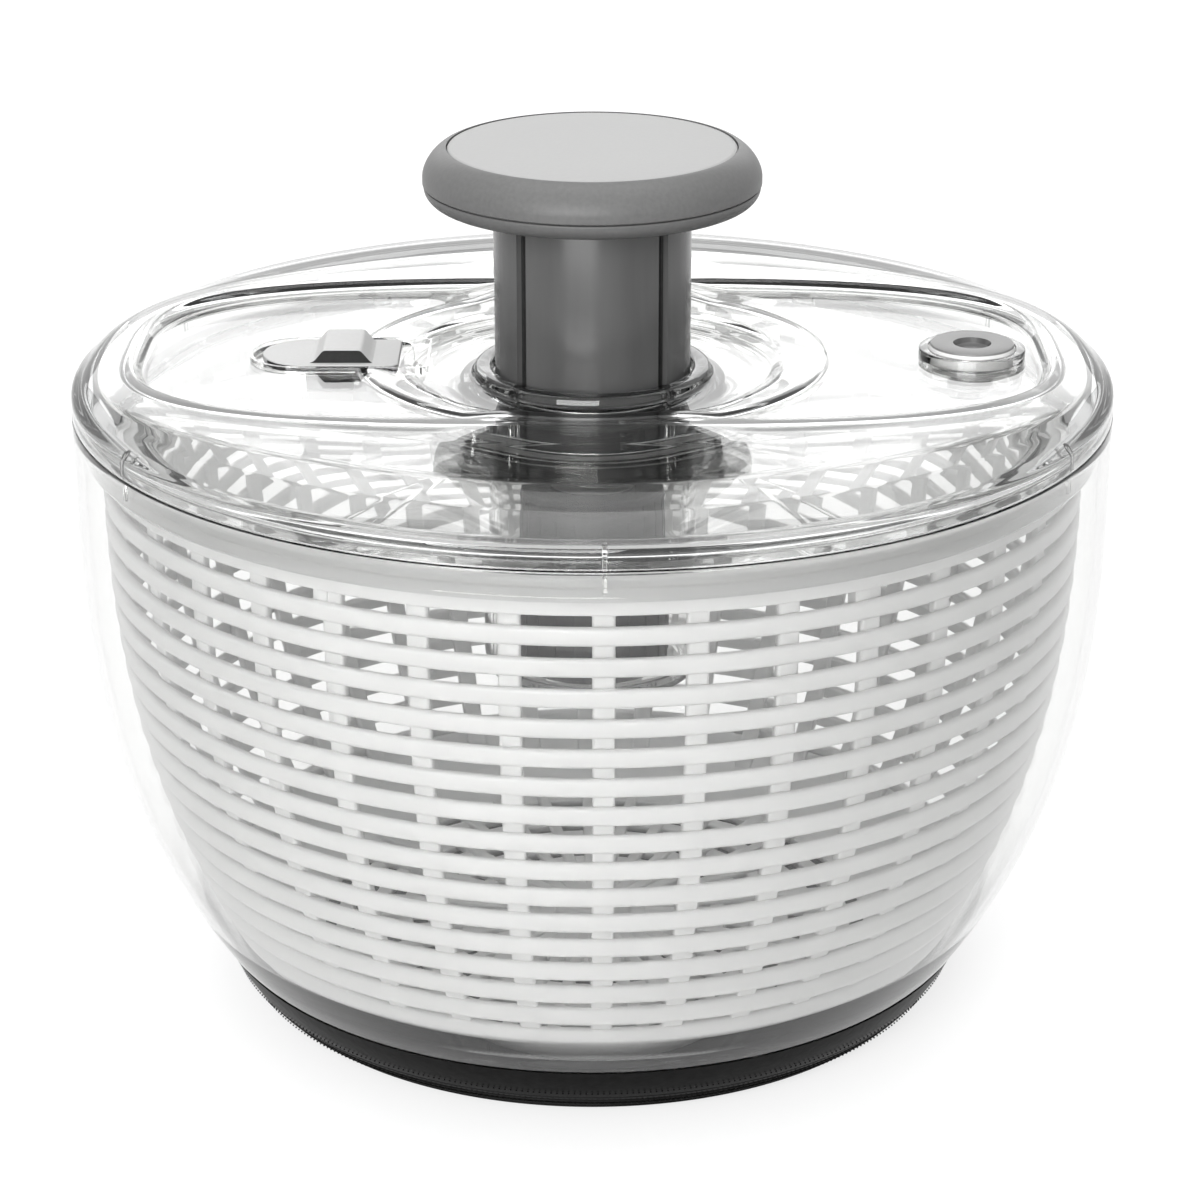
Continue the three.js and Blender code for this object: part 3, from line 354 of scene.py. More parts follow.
def finish(name, low, high, rough, scale, bump=0.05, stretch=(1, 1, 1), metal=0.0,
           clear=False, shine=0.5):
    """A moulded or drawn surface: colour drifts between two tones, with a fine relief."""
    material = bpy.data.materials.new(name)
    material.use_nodes = True
    nodes, links = material.node_tree.nodes, material.node_tree.links
    shader = nodes["Principled BSDF"]
    shader.inputs["Metallic"].default_value = metal
    shader.inputs["IOR"].default_value = 1.49
    shader.inputs["Specular IOR Level"].default_value = shine
    if clear:
        shader.inputs["Transmission Weight"].default_value = 1.0
        body = nodes.new("ShaderNodeVolumeAbsorption")
        body.inputs["Color"].default_value = (0.4, 0.41, 0.41, 1)
        body.inputs["Density"].default_value = 52.0
        links.new(body.outputs["Volume"], nodes["Material Output"].inputs["Volume"])
    coords = nodes.new("ShaderNodeTexCoord")
    mapping = nodes.new("ShaderNodeMapping")
    mapping.inputs["Scale"].default_value = stretch
    links.new(coords.outputs["Object"], mapping.inputs["Vector"])
    noise = nodes.new("ShaderNodeTexNoise")
    noise.inputs["Scale"].default_value = scale
    noise.inputs["Detail"].default_value = 4.0
    links.new(mapping.outputs["Vector"], noise.inputs["Vector"])
    tone = nodes.new("ShaderNodeValToRGB")
    tone.color_ramp.elements[0].position = 0.3
    tone.color_ramp.elements[1].position = 0.7
    tone.color_ramp.elements[0].color = (low, low, low * 0.995, 1)
    tone.color_ramp.elements[1].color = (high, high, high * 0.995, 1)
    links.new(noise.outputs["Fac"], tone.inputs["Fac"])
    links.new(tone.outputs["Color"], shader.inputs["Base Color"])
    gloss = nodes.new("ShaderNodeMapRange")
    gloss.inputs["To Min"].default_value = rough * 0.85
    gloss.inputs["To Max"].default_value = rough * 1.15
    links.new(noise.outputs["Fac"], gloss.inputs["Value"])
    links.new(gloss.outputs["Result"], shader.inputs["Roughness"])
    relief = nodes.new("ShaderNodeBump")
    relief.inputs["Strength"].default_value = bump
    relief.inputs["Distance"].default_value = 0.0004
    links.new(noise.outputs["Fac"], relief.inputs["Height"])
    links.new(relief.outputs["Normal"], shader.inputs["Normal"])
    return material


CLEAR = finish("clear polymer", 0.985, 0.995, 0.012, 9, bump=0.05, clear=True)
WHITE = finish("white moulding", 0.77, 0.80, 0.38, 60, bump=0.04)
RUBBER = finish("dark rubber", 0.003, 0.006, 0.34, 420, bump=0.2, shine=0.04)
# Column grey; also laid in the brake button's dish as painted shade.
COLUMN_GREY_AND_SHADE = finish("column grey and painted shade", 0.05, 0.075, 0.24, 90, bump=0.05, stretch=(1, 1, 0.08), shine=0.45)
RIM = finish("knob grey", 0.09, 0.104, 0.45, 900, bump=0.10, shine=0.3)
CAP = finish("soft light grey", 0.29, 0.31, 0.6, 1100, bump=0.14, shine=0.3)
LOCK = finish("slider grey", 0.36, 0.39, 0.5, 1100, bump=0.12)
LOCK_BUTTON = finish("button grey", 0.15, 0.17, 0.45, 1000, bump=0.1)
# Dark moulding for the dark parts; the shade helper also lays it on recesses and shaded sides as painted
# shade.
DARK_AND_SHADE = finish("dark moulding and painted shade", 0.013, 0.02, 0.4, 500, bump=0.10, shine=0.15)
NYLON = finish("natural nylon", 0.66, 0.72, 0.45, 300, bump=0.06)
STEEL = finish("stainless steel", 0.52, 0.66, 0.26, 300, bump=0.05, stretch=(1, 1, 12), metal=1.0)

# ---- bowl and base -------------------------------------------------------------------------------


def bowl_radius(z):
    share = max(0.0, (BELLY_Z - z) / (BELLY_Z - FOOT_Z))
    return BOWL_R - (BOWL_R - FOOT_R) * share ** 2.85


def base_turn(inset, count=10):
    """The turn from the flat underside up to the foot, moved inwards."""
    start = Vector((FOOT_R - 17.1 - inset / 2, inset))
    corner = Vector((FOOT_R - 6.6 - inset, inset + 0.5))
    end = Vector((FOOT_R - inset, FOOT_Z))
    steps = [k / count for k in range(count + 1)]
    return [tuple(start * (1 - t) ** 2 + corner * 2 * t * (1 - t) + end * t * t) for t in steps]


def wall_line(inset, z0, z1, rows):
    heights = [z0 + (z1 - z0) * k / rows for k in range(rows + 1)]
    return [(bowl_radius(z) - inset, z) for z in heights]


def make_bowl():
    step = BASE_T + GAP
    outside = base_turn(step)[:-1] + [(FOOT_R - step, FOOT_Z - 0.2), (FOOT_R - 0.1, FOOT_Z + GAP)]
    floor = BASE_T + GAP + WALL
    lip = rounded([(BOWL_R, RIM_Z - 3), (BOWL_R, RIM_Z),
                   (BOWL_R - WALL, RIM_Z), (BOWL_R - WALL, RIM_Z - 3)], 0.35)
    outline = [(0, step), *outside, *wall_line(0, FOOT_Z + 3, RIM_Z - 6, 40), *lip]
    outline += [*reversed(wall_line(WALL, FOOT_Z + 12, RIM_Z - 6, 40)), *reversed(base_turn(step + WALL))]
    pin = rounded([(7, floor), (3.5, floor), (3.5, floor + 6.5), (0, floor + 6.5)], 1.2)
    return put("bowl_clear", turned("bowl", outline + pin, 224), CLEAR, 40)


def make_base():
    """Rubber foot: a moulded cup with fine ridges round its side and rows of tiny beads."""
    turn = base_turn(0, 14)
    cup = turned("base", [(0, 0), *turn, *reversed(base_turn(BASE_T)), (0, BASE_T)], 224)
    ridges = Tree("base ridges", Ridges=7, Rise=1.3, Step=1.75, Thick=0.26)
    given = ridges.given
    heights = ridges.out("GeometryNodeMeshLine", {
        "Count": given["Ridges"],
        "Start Location": ridges.vector(z=ridges.mm("Rise")),
        "Offset": ridges.vector(z=ridges.mm("Step"))})
    share = ridges.math("SQRT", ridges.math("DIVIDE", ridges.height(), FOOT_Z * MM))
    radius = ridges.math("MULTIPLY_ADD", share, (FOOT_R - FOOT_FLAT_R) * MM, RIDGE_FLAT_R * MM)
    circle = ridges.out("GeometryNodeCurvePrimitiveCircle", {"Resolution": 200, "Radius": 1.0})
    rings = ridges.out("GeometryNodeInstanceOnPoints", {
        "Points": heights, "Instance": circle, "Scale": ridges.vector(radius, radius, 1.0)})
    curves = ridges.out("GeometryNodeRealizeInstances", {0: rings})
    profile = ridges.out("GeometryNodeCurvePrimitiveCircle", {
        "Resolution": 6, "Radius": ridges.mm("Thick")})
    fine = ridges.mesh(ridges.sweep(curves, profile), RUBBER)
    return put("foot_rubber", joined("foot", [cup, fine, *[bead_row(z) for z in (4.2, 8.6)]]), RUBBER, 40)


def bead_row(z):
    """A row of tiny moulded beads round the foot."""
    row_r = BEAD_FLAT_R + (FOOT_R - FOOT_FLAT_R) * math.sqrt(z / FOOT_Z)
    tree = Tree("foot beads", Beads=420, Radius=row_r, Bead=0.26)
    radius = tree.mm("Radius")
    ball = tree.out("GeometryNodeMeshIcoSphere", {
        "Radius": tree.mm("Bead"), "Subdivisions": 1})
    place = tree.vector(x=radius, z=z * MM)
    bead = tree.out("GeometryNodeTransform", {"Geometry": ball, "Translation": place})
    return tree.mesh(tree.ring_of(bead, tree.given["Beads"]), RUBBER)


# ---- basket --------------------------------------------------------------------------------------

TURN_Z = 20.5
TURN_INSET = 28.4
BASKET_POWER = 2.46
FLOOR_Z = BASKET_LOW.z
FLAT_R = BASKET_R - 48
PITCH = 7.53
SLAT_TOP = 139.5
SLATS = 16
RIBS = 36


def basket_radius(z):
    share = max(0.0, (BELLY_Z - z) / (BELLY_Z - TURN_Z))
    return BASKET_R - TURN_INSET * share ** BASKET_POWER


def wall_radius(tree, inset):
    """Radius of the basket's wall at a point's own height, and how steeply it changes."""
    reach = tree.math("DIVIDE", tree.math("SUBTRACT", BELLY_Z * MM, tree.height()), (BELLY_Z - TURN_Z) * MM)
    share = tree.math("MAXIMUM", reach, 1e-4)
    drop = tree.math("MULTIPLY", tree.math("POWER", share, BASKET_POWER), TURN_INSET * MM)
    radius = tree.math("SUBTRACT", tree.math("SUBTRACT", BASKET_R * MM, inset), drop)
    steep = tree.math("POWER", share, BASKET_POWER - 1)
    slope = tree.math("MULTIPLY", steep, TURN_INSET * BASKET_POWER / (BELLY_Z - TURN_Z))
    return radius, slope


def slat_rings():
    """Rounded slats, one above the other, that follow the basket's wall."""
    tree = Tree("basket slats", Slats=SLATS, Top=SLAT_TOP, Pitch=PITCH, Height=4.5, Depth=2.3)
    given = tree.given
    points = tree.out("GeometryNodeMeshLine", {
        "Count": given["Slats"],
        "Start Location": tree.vector(z=tree.mm("Top")),
        "Offset": tree.vector(z=tree.math("MULTIPLY", given["Pitch"], -MM))})
    radius, _ = wall_radius(tree, 1.15 * MM)
    circle = tree.out("GeometryNodeCurvePrimitiveCircle", {"Resolution": 180, "Radius": 1.0})
    rings = tree.out("GeometryNodeInstanceOnPoints", {
        "Points": points, "Instance": circle, "Scale": tree.vector(radius, radius, 1.0)})
    curves = tree.out("GeometryNodeRealizeInstances", {0: rings})
    upright = tree.out("GeometryNodeSetCurveNormal", {"Curve": curves}, mode="Z_UP")
    _, slope = wall_radius(tree, 0.0)
    lean = tree.math("MULTIPLY", tree.math("ARCTANGENT", slope), -0.55)
    tilted = tree.out("GeometryNodeSetCurveTilt", {"Curve": upright, "Tilt": lean})
    profile = tree.bar(tree.mm("Depth"), tree.mm("Height"), 1.0 * MM)
    return tree.mesh(tree.sweep(tilted, profile), WHITE)


def wall_ribs():
    """Upright ribs behind the slats, from the band down to the turn."""
    tree = Tree("basket ribs", Ribs=RIBS, Width=5.2, Depth=2.2, Setback=3.1)
    given = tree.given
    line = tree.out("GeometryNodeCurvePrimitiveLine", {"Start": (0, 0, 17.5 * MM), "End": (0, 0, 150 * MM)})
    fine = tree.out("GeometryNodeResampleCurve", {"Curve": line, "Count": 40})
    radius, _ = wall_radius(tree, tree.mm("Setback"))
    follow = tree.out("GeometryNodeSetPosition", {
        "Geometry": fine, "Position": tree.vector(x=radius, z=tree.height())})
    upright = tree.out("GeometryNodeSetCurveNormal", {"Curve": follow}, mode="Z_UP")
    profile = tree.bar(tree.mm("Width"), tree.mm("Depth"), 0.7 * MM)
    rib = tree.sweep(upright, profile)
    return tree.mesh(tree.ring_of(rib, given["Ribs"], RIB_TURN - math.pi / 2), WHITE)


def floor_rings():
    """Flat rings in the basket's floor."""
    tree = Tree("floor rings", Rings=7, Inner=17.5, Step=8.2, Width=4.2, Thick=2.2)
    given = tree.given
    points = tree.out("GeometryNodeMeshLine", {
        "Count": given["Rings"], "Start Location": (0, 0, (FLOOR_Z + 1.2) * MM), "Offset": (0, 0, 0)})
    index = tree.out("GeometryNodeInputIndex")
    radius = tree.math("MULTIPLY", tree.math("MULTIPLY_ADD", index, given["Step"], given["Inner"]), MM)
    circle = tree.out("GeometryNodeCurvePrimitiveCircle", {"Resolution": 96, "Radius": 1.0})
    rings = tree.out("GeometryNodeInstanceOnPoints", {
        "Points": points, "Instance": circle, "Scale": tree.vector(radius, radius, 1.0)})
    upright = tree.out("GeometryNodeSetCurveNormal", {
        "Curve": tree.out("GeometryNodeRealizeInstances", {0: rings})}, mode="Z_UP")
    profile = tree.bar(tree.mm("Width"), tree.mm("Thick"), 0.7 * MM)
    return tree.mesh(tree.sweep(upright, profile), WHITE)


def floor_spokes():
    """Radial ribs under the floor rings."""
    tree = Tree("floor spokes", Spokes=RIBS, Width=3.2, Thick=2.0)
    given = tree.given
    z = (FLOOR_Z + 2.2) * MM
    line = tree.out("GeometryNodeCurvePrimitiveLine", {"Start": (14 * MM, 0, z), "End": (FLAT_R * MM, 0, z)})
    upright = tree.out("GeometryNodeSetCurveNormal", {"Curve": line}, mode="Z_UP")
    profile = tree.bar(tree.mm("Width"), tree.mm("Thick"), 0.6 * MM)
    return tree.mesh(tree.ring_of(tree.sweep(upright, profile), given["Spokes"], RIB_TURN), WHITE)


def make_basket():
    top_r = basket_radius(BASKET_TOP)
    band = rounded([
        (top_r - 2.4, 145.0), (top_r, 144.6), (top_r, BASKET_TOP - 2.2), (top_r + 0.3, BASKET_TOP - 1.8),
        (top_r + 0.3, BASKET_TOP), (top_r - 2.4, BASKET_TOP)], 0.7, closed=True)
    outer = [(basket_radius(z), z) for z in (24.2, 22.4, TURN_Z)]
    turn_r = basket_radius(TURN_Z)
    outer += [(turn_r - 5.5, 14.6), (turn_r - 12.5, 10.4), (FLAT_R, FLOOR_Z)]
    inner = [(r - 1.6, z + 1.7) for r, z in reversed(outer)]
    turn = rounded(outer + [(FLAT_R - 3, FLOOR_Z), (FLAT_R - 3, FLOOR_Z + 2.2)] + inner, 1.0, closed=True)
    hub = rounded([
        (0, FLOOR_Z + 4.6), (3.9, FLOOR_Z + 4.6), (3.9, FLOOR_Z), (16, FLOOR_Z), (16, FLOOR_Z + 2.4),
        (10, FLOOR_Z + 3), (8.5, FLOOR_Z + 7), (0, FLOOR_Z + 7)], 0.8)
    dog = slab(BASKET_R - 5.2, BASKET_R - 1.6, -2, 2, BASKET_TOP - 15.5, BASKET_TOP - 1.5, 0.5)
    dogs = [ring_copy(dog, k, 6) for k in range(6)]
    solid = [turned("band", band, 200), turned("turn", turn, 200), turned("hub", hub, 72)]
    parts = [slat_rings(), wall_ribs(), floor_rings(), floor_spokes(), *solid, *dogs]
    return put("basket_white", joined("basket", parts), WHITE, 40)


def ring_copy(mesh, k, count, start=0.0):
    """One of several copies turned evenly about the axis."""
    copy = mesh.copy()
    copy.transform(Matrix.Rotation(start + math.tau * k / count, 4, "Z"))
    return copy


# ---- lid -----------------------------------------------------------------------------------------


def panel_radius(angle):
    x = abs(math.cos(angle) / PANEL_A) ** 3.2
    y = abs(math.sin(angle) / PANEL_B) ** 3.2
    return (x + y) ** (-1 / 3.2)


def lid_section(angle):
    """Over the top from the skirt to the bore, then back underneath."""
    edge = panel_radius(angle)
    share = min(1.0, max(0.0, (edge - CREST_R - 5) / 10))
    depth = share * share * (3 - 2 * share)
    floor = CROWN_Z - 3.1 * depth
    crest = CROWN_Z - 2.2 * depth
    crest_foot = CREST_R + 1.5 + 1.1 * depth
    edge_foot = max(edge - 1.6 - 1.9 * depth, crest_foot + 0.3)
    skirt_top = SKIRT_Z + 6.6
    outer = BOWL_R - 1.8
    rise = CROWN_Z - skirt_top
    plug = BOWL_R - 3.5

    def shoulder(t):
        return outer + (edge + 1.2 - outer) * t

    top = [
        (BOWL_R - 0.1, SKIRT_Z), (BOWL_R - 0.1, SKIRT_Z + 0.6), (BOWL_R - 0.1, skirt_top - 1.6),
        (outer - 0.4, skirt_top),
        (shoulder(0.2), skirt_top + rise * 0.36), (shoulder(0.45), skirt_top + rise * 0.68),
        (shoulder(0.75), skirt_top + rise * 0.9), (edge + 1.2, CROWN_Z), (edge - 1.2, CROWN_Z),
        (edge_foot, floor), (crest_foot, floor), (CREST_R + 1, crest), (CREST_R - 1, crest),
        (WELL_R + 3, PANEL_Z - 0.6), (WELL_R - 0.5, WELL_Z + 0.9), (WELL_R - 4, WELL_Z),
        (COLLAR_R + 0.7, WELL_Z), (COLLAR_R, COLLAR_Z),
        (BORE_R + 0.2, COLLAR_Z), (BORE_R, BOSS_Z),
    ]
    under = [
        (BORE_R + 2.2, BOSS_Z), (BORE_R + 2.4, BOSS_Z + 2.4),
        (BOSS_R - 2.2, BOSS_Z + 2.4), (BOSS_R - 2, BOSS_Z),
        (BOSS_R, BOSS_Z), (BOSS_R, WELL_Z - 2.6), (WELL_R - 3.4, WELL_Z - 2.6), (WELL_R + 0.6, WELL_Z - 1.7),
        (WELL_R + 4, PANEL_Z - 3.2), (CREST_R, crest - 2.8), (crest_foot + 0.6, floor - 2.6),
        (edge_foot + 0.6, floor - 2.6), (edge + 1.6, CROWN_Z - 2.6),
        (shoulder(0.45), skirt_top + rise * 0.68 - 2.6), (plug - 2.4, SKIRT_Z + 1.6),
        (plug - 2.4, SKIRT_Z - 8.6), (plug, SKIRT_Z - 8.6), (plug, SKIRT_Z), (BOWL_R - 0.7, SKIRT_Z),
    ]
    return rounded(top + under, 1.1, 3, closed=True)


def slot_outline(x0, x1, half, corner=1.5):
    """Round at its outer end and square, with small corners, at its inner end."""
    arc = [math.pi / 2 + math.pi * k / 24 for k in range(25)]
    bow = [(x0 + half + half * math.cos(a), half * math.sin(a)) for a in arc]
    return [(x1, -half + corner), (x1, half - corner), (x1 - corner, half), *bow, (x1 - corner, -half)]


def make_lid():
    shell = swept("lid", lid_section, 256)
    housing = rounded([
        (3.4, HOUSING_Z), (13.4, HOUSING_Z), (13.4, PANEL_Z + 2.4), (11, PANEL_Z + 2.4),
        (11, HOUSING_FLOOR_Z), (3.4, HOUSING_FLOOR_Z)], 0.5, closed=True)
    tick = slab(BOWL_R - 4.4, BOWL_R - 3.1, -0.6, 0.6, SKIRT_Z - 6.2, SKIRT_Z + 4.5, 0.2)
    ticks = [ring_copy(tick, k, 6, RIB_TURN + math.radians(30)) for k in range(6)]
    key = slab(PLUNGER_R - 0.6, BORE_R + 1, -1, 1, BOSS_Z, COLLAR_Z - 0.8, 0.15)
    keys = [ring_copy(key, k, 4, math.pi / 4) for k in range(4)]
    pocket_x = PAD_LOW.x - 3.4, PAD_HIGH.x + 7.6
    pocket_half = PAD_HIGH.y + 1.8
    pocket = prism(slot_outline(*pocket_x, pocket_half), PANEL_Z - 1.2, CROWN_Z + 2)
    neck_x0, neck_x1, neck_half = PAD_LOW.x + 9.5, PAD_LOW.x + 31.5, 5.1
    neck = prism([(neck_x0, -neck_half), (neck_x1, -neck_half), (neck_x1, neck_half), (neck_x0, neck_half)],
                 NECK_CUT_Z, CROWN_Z)
    window = slab(-BOSS_R - 1, -PLUNGER_R + 1, -3.6, 3.6, *ARM_SLOT_Z)
    hole = [(0, HOUSING_FLOOR_Z), (13.2, HOUSING_FLOOR_Z), (13.2, CROWN_Z + 3), (0, CROWN_Z + 3)]
    bore = moved(turned("bore", hole, 72), BRAKE_X)
    cut = combined(shell, [pocket, neck, window, bore])
    fitted = moved(turned("housing", housing, 96), BRAKE_X)
    edge = pocket_rim(pocket_x, pocket_half)
    return put("lid_clear", joined("lid", [cut, fitted, edge, *ticks, *keys]), CLEAR, 35)


def pocket_rim(pocket_x, half):
    """A thin raised wire-like edge round the lock's pocket."""
    outside = slot_outline(*pocket_x, half)
    inside = slot_outline(pocket_x[0] + 0.9, pocket_x[1] - 0.5, half - 0.9)
    count = len(outside)
    verts = []
    for z in (PANEL_Z - 0.9, PANEL_Z + 0.9):
        verts += [(x, y, z) for x, y in outside] + [(x, y, z) for x, y in inside]
    low_out, low_in, top_out, top_in = 0, count, 2 * count, 3 * count
    sides = (low_out, top_out), (top_out, top_in), (top_in, low_in), (low_in, low_out)
    faces = []
    for k in range(count):
        n = (k + 1) % count
        faces += [(a + k, a + n, b + n, b + k) for a, b in sides]
    return mesh_of("pocket edge", verts, faces)


# ---- drive under the lid -------------------------------------------------------------------------


def make_drive_disc():
    hub_r = RETAINER_HIGH.x + 5.1
    web = RETAINER_LOW.z - 2.7
    low, high = DISC_UNDER_Z, DISC_TOP_Z
    disc_r = BASKET_R - 4
    cup_r, bore = PLUNGER_R + 3.3, PLUNGER_R + 1.5
    floor = CUP_LOW.z + 2.5
    bottom = [(0, CUP_LOW.z), (cup_r - 4, CUP_LOW.z), (cup_r - 1, CUP_LOW.z + 1.4), (cup_r, CUP_LOW.z + 5)]
    outline = bottom + [
        (cup_r, web - 2.5), (hub_r, web - 2.5), (hub_r, low), (disc_r, low), (disc_r, high + 2.4),
        (disc_r - 2, high + 2.4), (disc_r - 2, high), (BOSS_R + 0.6, high), (BOSS_R + 0.6, low),
        (hub_r - 2.5, low), (hub_r - 2.5, web),
        (bore, web), (bore, floor + 2.5), (bore - 2.5, floor), (0, floor)]
    body = turned("disc", rounded(outline, 1.0), 200)
    notch = slab(BASKET_R - 5.8, BASKET_R, -2.6, 2.6, low - 2, high + 5)
    notches = [ring_copy(notch, k, 6) for k in range(6)]
    return put("drive_disc_clear", combined(body, [joined("notches", notches)]), CLEAR, 35)


def make_ring(name, points, material):
    return put(name, turned(name, rounded(points, 0.3, 3, closed=True), 96), material, 35)


def make_clutch():
    low, high = span("clutch_ring")
    drum_r = high.x
    drum = rounded([(8.0, low.z), (drum_r, low.z), (drum_r, high.z), (8.0, high.z)], 0.5, closed=True)
    flutes = Tree("drum flutes", Flutes=24, Height=float(high.z - low.z - 5), Width=1.2)
    bar = flutes.out("GeometryNodeMeshCube", {"Size": flutes.vector(
        0.7 * MM, flutes.mm("Width"), flutes.mm("Height"))})
    place = flutes.vector(x=drum_r * MM, z=(low.z + high.z) / 2 * MM)
    flute = flutes.out("GeometryNodeTransform", {"Geometry": bar, "Translation": place})
    fluted = flutes.mesh(flutes.ring_of(flute, flutes.given["Flutes"]), DARK_AND_SHADE)
    return put("clutch_drum", joined("drum", [turned("drum", drum, 96), fluted]), DARK_AND_SHADE, 35)


def screws(name, body, nodes, radius, start, head_z, side, head_r, head_h, shank_r, length):
    """Pan-head screws on a circle, with a cross recess in each head."""
    tip = head_z - side * length
    top = head_z + side * head_h
    outline = rounded([(0, tip), (shank_r, tip), (shank_r, head_z), (head_r, head_z),
                       (head_r * 0.9, top), (0, top)], 0.25)
    screw = turned("screw", outline, 24)
    low, high = sorted((top - side * head_h * 0.55, top + side * 0.5))
    arm, half = head_r * 0.6, 0.25
    cross = [slab(-arm, arm, -half, half, low, high), slab(-half, half, -arm, arm, low, high)]
    template = bpy.data.objects.new("screw", moved(combined(screw, cross), radius))
    tree = Tree(name, Screws=len(nodes), Start=math.radians(start))
    shape = tree.add("GeometryNodeObjectInfo", {"Object": template}).outputs["Geometry"]
    welded = tree.out("GeometryNodeMergeByDistance", {"Geometry": shape, "Distance": 1e-6})
    ring = tree.ring_of(welded, tree.given["Screws"], tree.given["Start"])
    piece = put(name, tree.mesh(ring, STEEL), STEEL, 35)
    bpy.data.objects.remove(template)
    return settle(piece, body, "steel", *nodes)


def coil(name, body, node, turns, radius, wire, x=0.0):
    """A wound spring between the heights of its frame node."""
    low, high = span(node)
    tree = Tree(name, Turns=float(turns), Radius=radius, Wire=wire, Height=float(high.z - low.z - wire))
    coil_r = tree.mm("Radius")
    spiral = tree.out("GeometryNodeCurveSpiral", {
        "Resolution": 40, "Rotations": tree.given["Turns"], "Start Radius": coil_r,
        "End Radius": coil_r, "Height": tree.mm("Height")})
    profile = tree.out("GeometryNodeCurvePrimitiveCircle", {
        "Resolution": 12, "Radius": tree.math("DIVIDE", tree.mm("Wire"), 2)})
    mesh = moved(tree.mesh(tree.sweep(spiral, profile), STEEL), x, 0, low.z + wire / 2)
    return settle(put(name, mesh, STEEL, 40), body, "steel", node)


def make_spindle():
    """The twisted bar and its journal."""
    low, high = span("spiral_spindle")
    start = span("spring_seat")[1].z
    tree = Tree("spiral bar", Lead=30.0, Width=8.0, Thick=3.4, Bottom=float(start - 2), Top=float(high.z))
    given = tree.given
    line = tree.out("GeometryNodeCurvePrimitiveLine", {
        "Start": tree.vector(z=tree.mm("Bottom")),
        "End": tree.vector(z=tree.mm("Top"))})
    fine = tree.out("GeometryNodeResampleCurve", {"Curve": line, "Count": 120})
    rise = tree.math("SUBTRACT", tree.math("DIVIDE", tree.height(), MM), given["Top"])
    twist = tree.math("MULTIPLY", tree.math("DIVIDE", rise, given["Lead"]), math.tau)
    twisted = tree.out("GeometryNodeSetCurveTilt", {"Curve": fine, "Tilt": twist})
    profile = tree.bar(tree.mm("Width"), tree.mm("Thick"), 0.6 * MM)
    bar = tree.mesh(tree.sweep(twisted, profile), STEEL)
    journal = turned("journal", rounded([(0, low.z), (3.8, low.z), (3.8, start), (0, start)], 0.4), 48)
    return put("spindle_steel", joined("spindle", [bar, journal]), STEEL, 35)


# ---- plunger and knob ----------------------------------------------------------------------------


def make_column():
    """The grey column: four keyways, a ring of fine teeth, four snap windows and the lock's cuts."""
    z0, z1 = TUBE_LOW.z, TUBE_HIGH.z
    bore = PLUNGER_R - 3

    def section(angle):
        turn = angle % (math.pi / 2) - math.pi / 4
        across = PLUNGER_R * abs(math.sin(turn))
        groove = 1.7 * (1 - smooth(across, 1.2, 1.5))
        r = PLUNGER_R - groove
        line = [(bore, z0), (r - 0.7, z0), (r, z0 + 0.8), (r, z1), (bore, z1)]
        return rounded(line, 0.3, 2, closed=True)

    tube = swept("column", section, 480)
    window = slab(bore - 1, PLUNGER_R + 1, -3, 3, z0 + 16, z0 + 25, 0.6)
    windows = [ring_copy(window, k, 4, math.radians(22)) for k in range(4)]
    lock_cut = -PLUNGER_R - 2, -PLUNGER_R + LOCK_CUT_DEPTH, -LOCK_CUT_HALF, LOCK_CUT_HALF
    notch = slab(*lock_cut, *NOTCH_Z, 0.2)
    groove = slab(*lock_cut, z0 - 2, GROOVE_TOP, 0.2)
    cut = combined(tube, [joined("windows", windows), notch, groove])
    teeth = Tree("column teeth", Teeth=96, Radius=float(PLUNGER_R - 0.15))
    tooth = teeth.out("GeometryNodeMeshCube", {"Size": (0.5 * MM, 0.8 * MM, 3.0 * MM)})
    place = teeth.vector(x=teeth.mm("Radius"), z=(span("lock_tongue")[1].z + TEETH_RISE) * MM)
    one = teeth.out("GeometryNodeTransform", {"Geometry": tooth, "Translation": place})
    ring = teeth.mesh(teeth.ring_of(one, teeth.given["Teeth"]), COLUMN_GREY_AND_SHADE)
    plates = []
    for z, thick in ((z1 - 3, 3), (WEB_Z, 2.5)):
        square = [(8, z), (bore + 0.5, z), (bore + 0.5, z + thick), (8, z + thick)]
        plates.append(turned("plate", rounded(square, 0.3, 2, closed=True), 96))
    piece = put("column_grey", joined("column", [cut, ring, *plates]), COLUMN_GREY_AND_SHADE, 35)
    # Painted shade: faces sunk into the wall (keyways, the lock's cuts, the windows' walls) take the dark
    # material in place of the shade there.
    shade(piece, lambda face: bore + 0.6 < math.hypot(face.center.x, face.center.y) / MM < PLUNGER_R - 0.9)
    return piece


def shade(piece, chosen, material=None):
    """Gives the chosen faces of a piece another material, the dark material if none is named; a real finish on
    the button's stem, painted shade on the column's recesses, the button's dish and the slider's sides.
    """
    piece.data.materials.append(material or DARK_AND_SHADE)
    finish_or_shade_index = len(piece.data.materials) - 1
    for face in piece.data.polygons:
        if chosen(face):
            face.material_index = finish_or_shade_index


def smooth(value, low, high):
    t = min(1.0, max(0.0, (value - low) / (high - low)))
    return t * t * (3 - 2 * t)


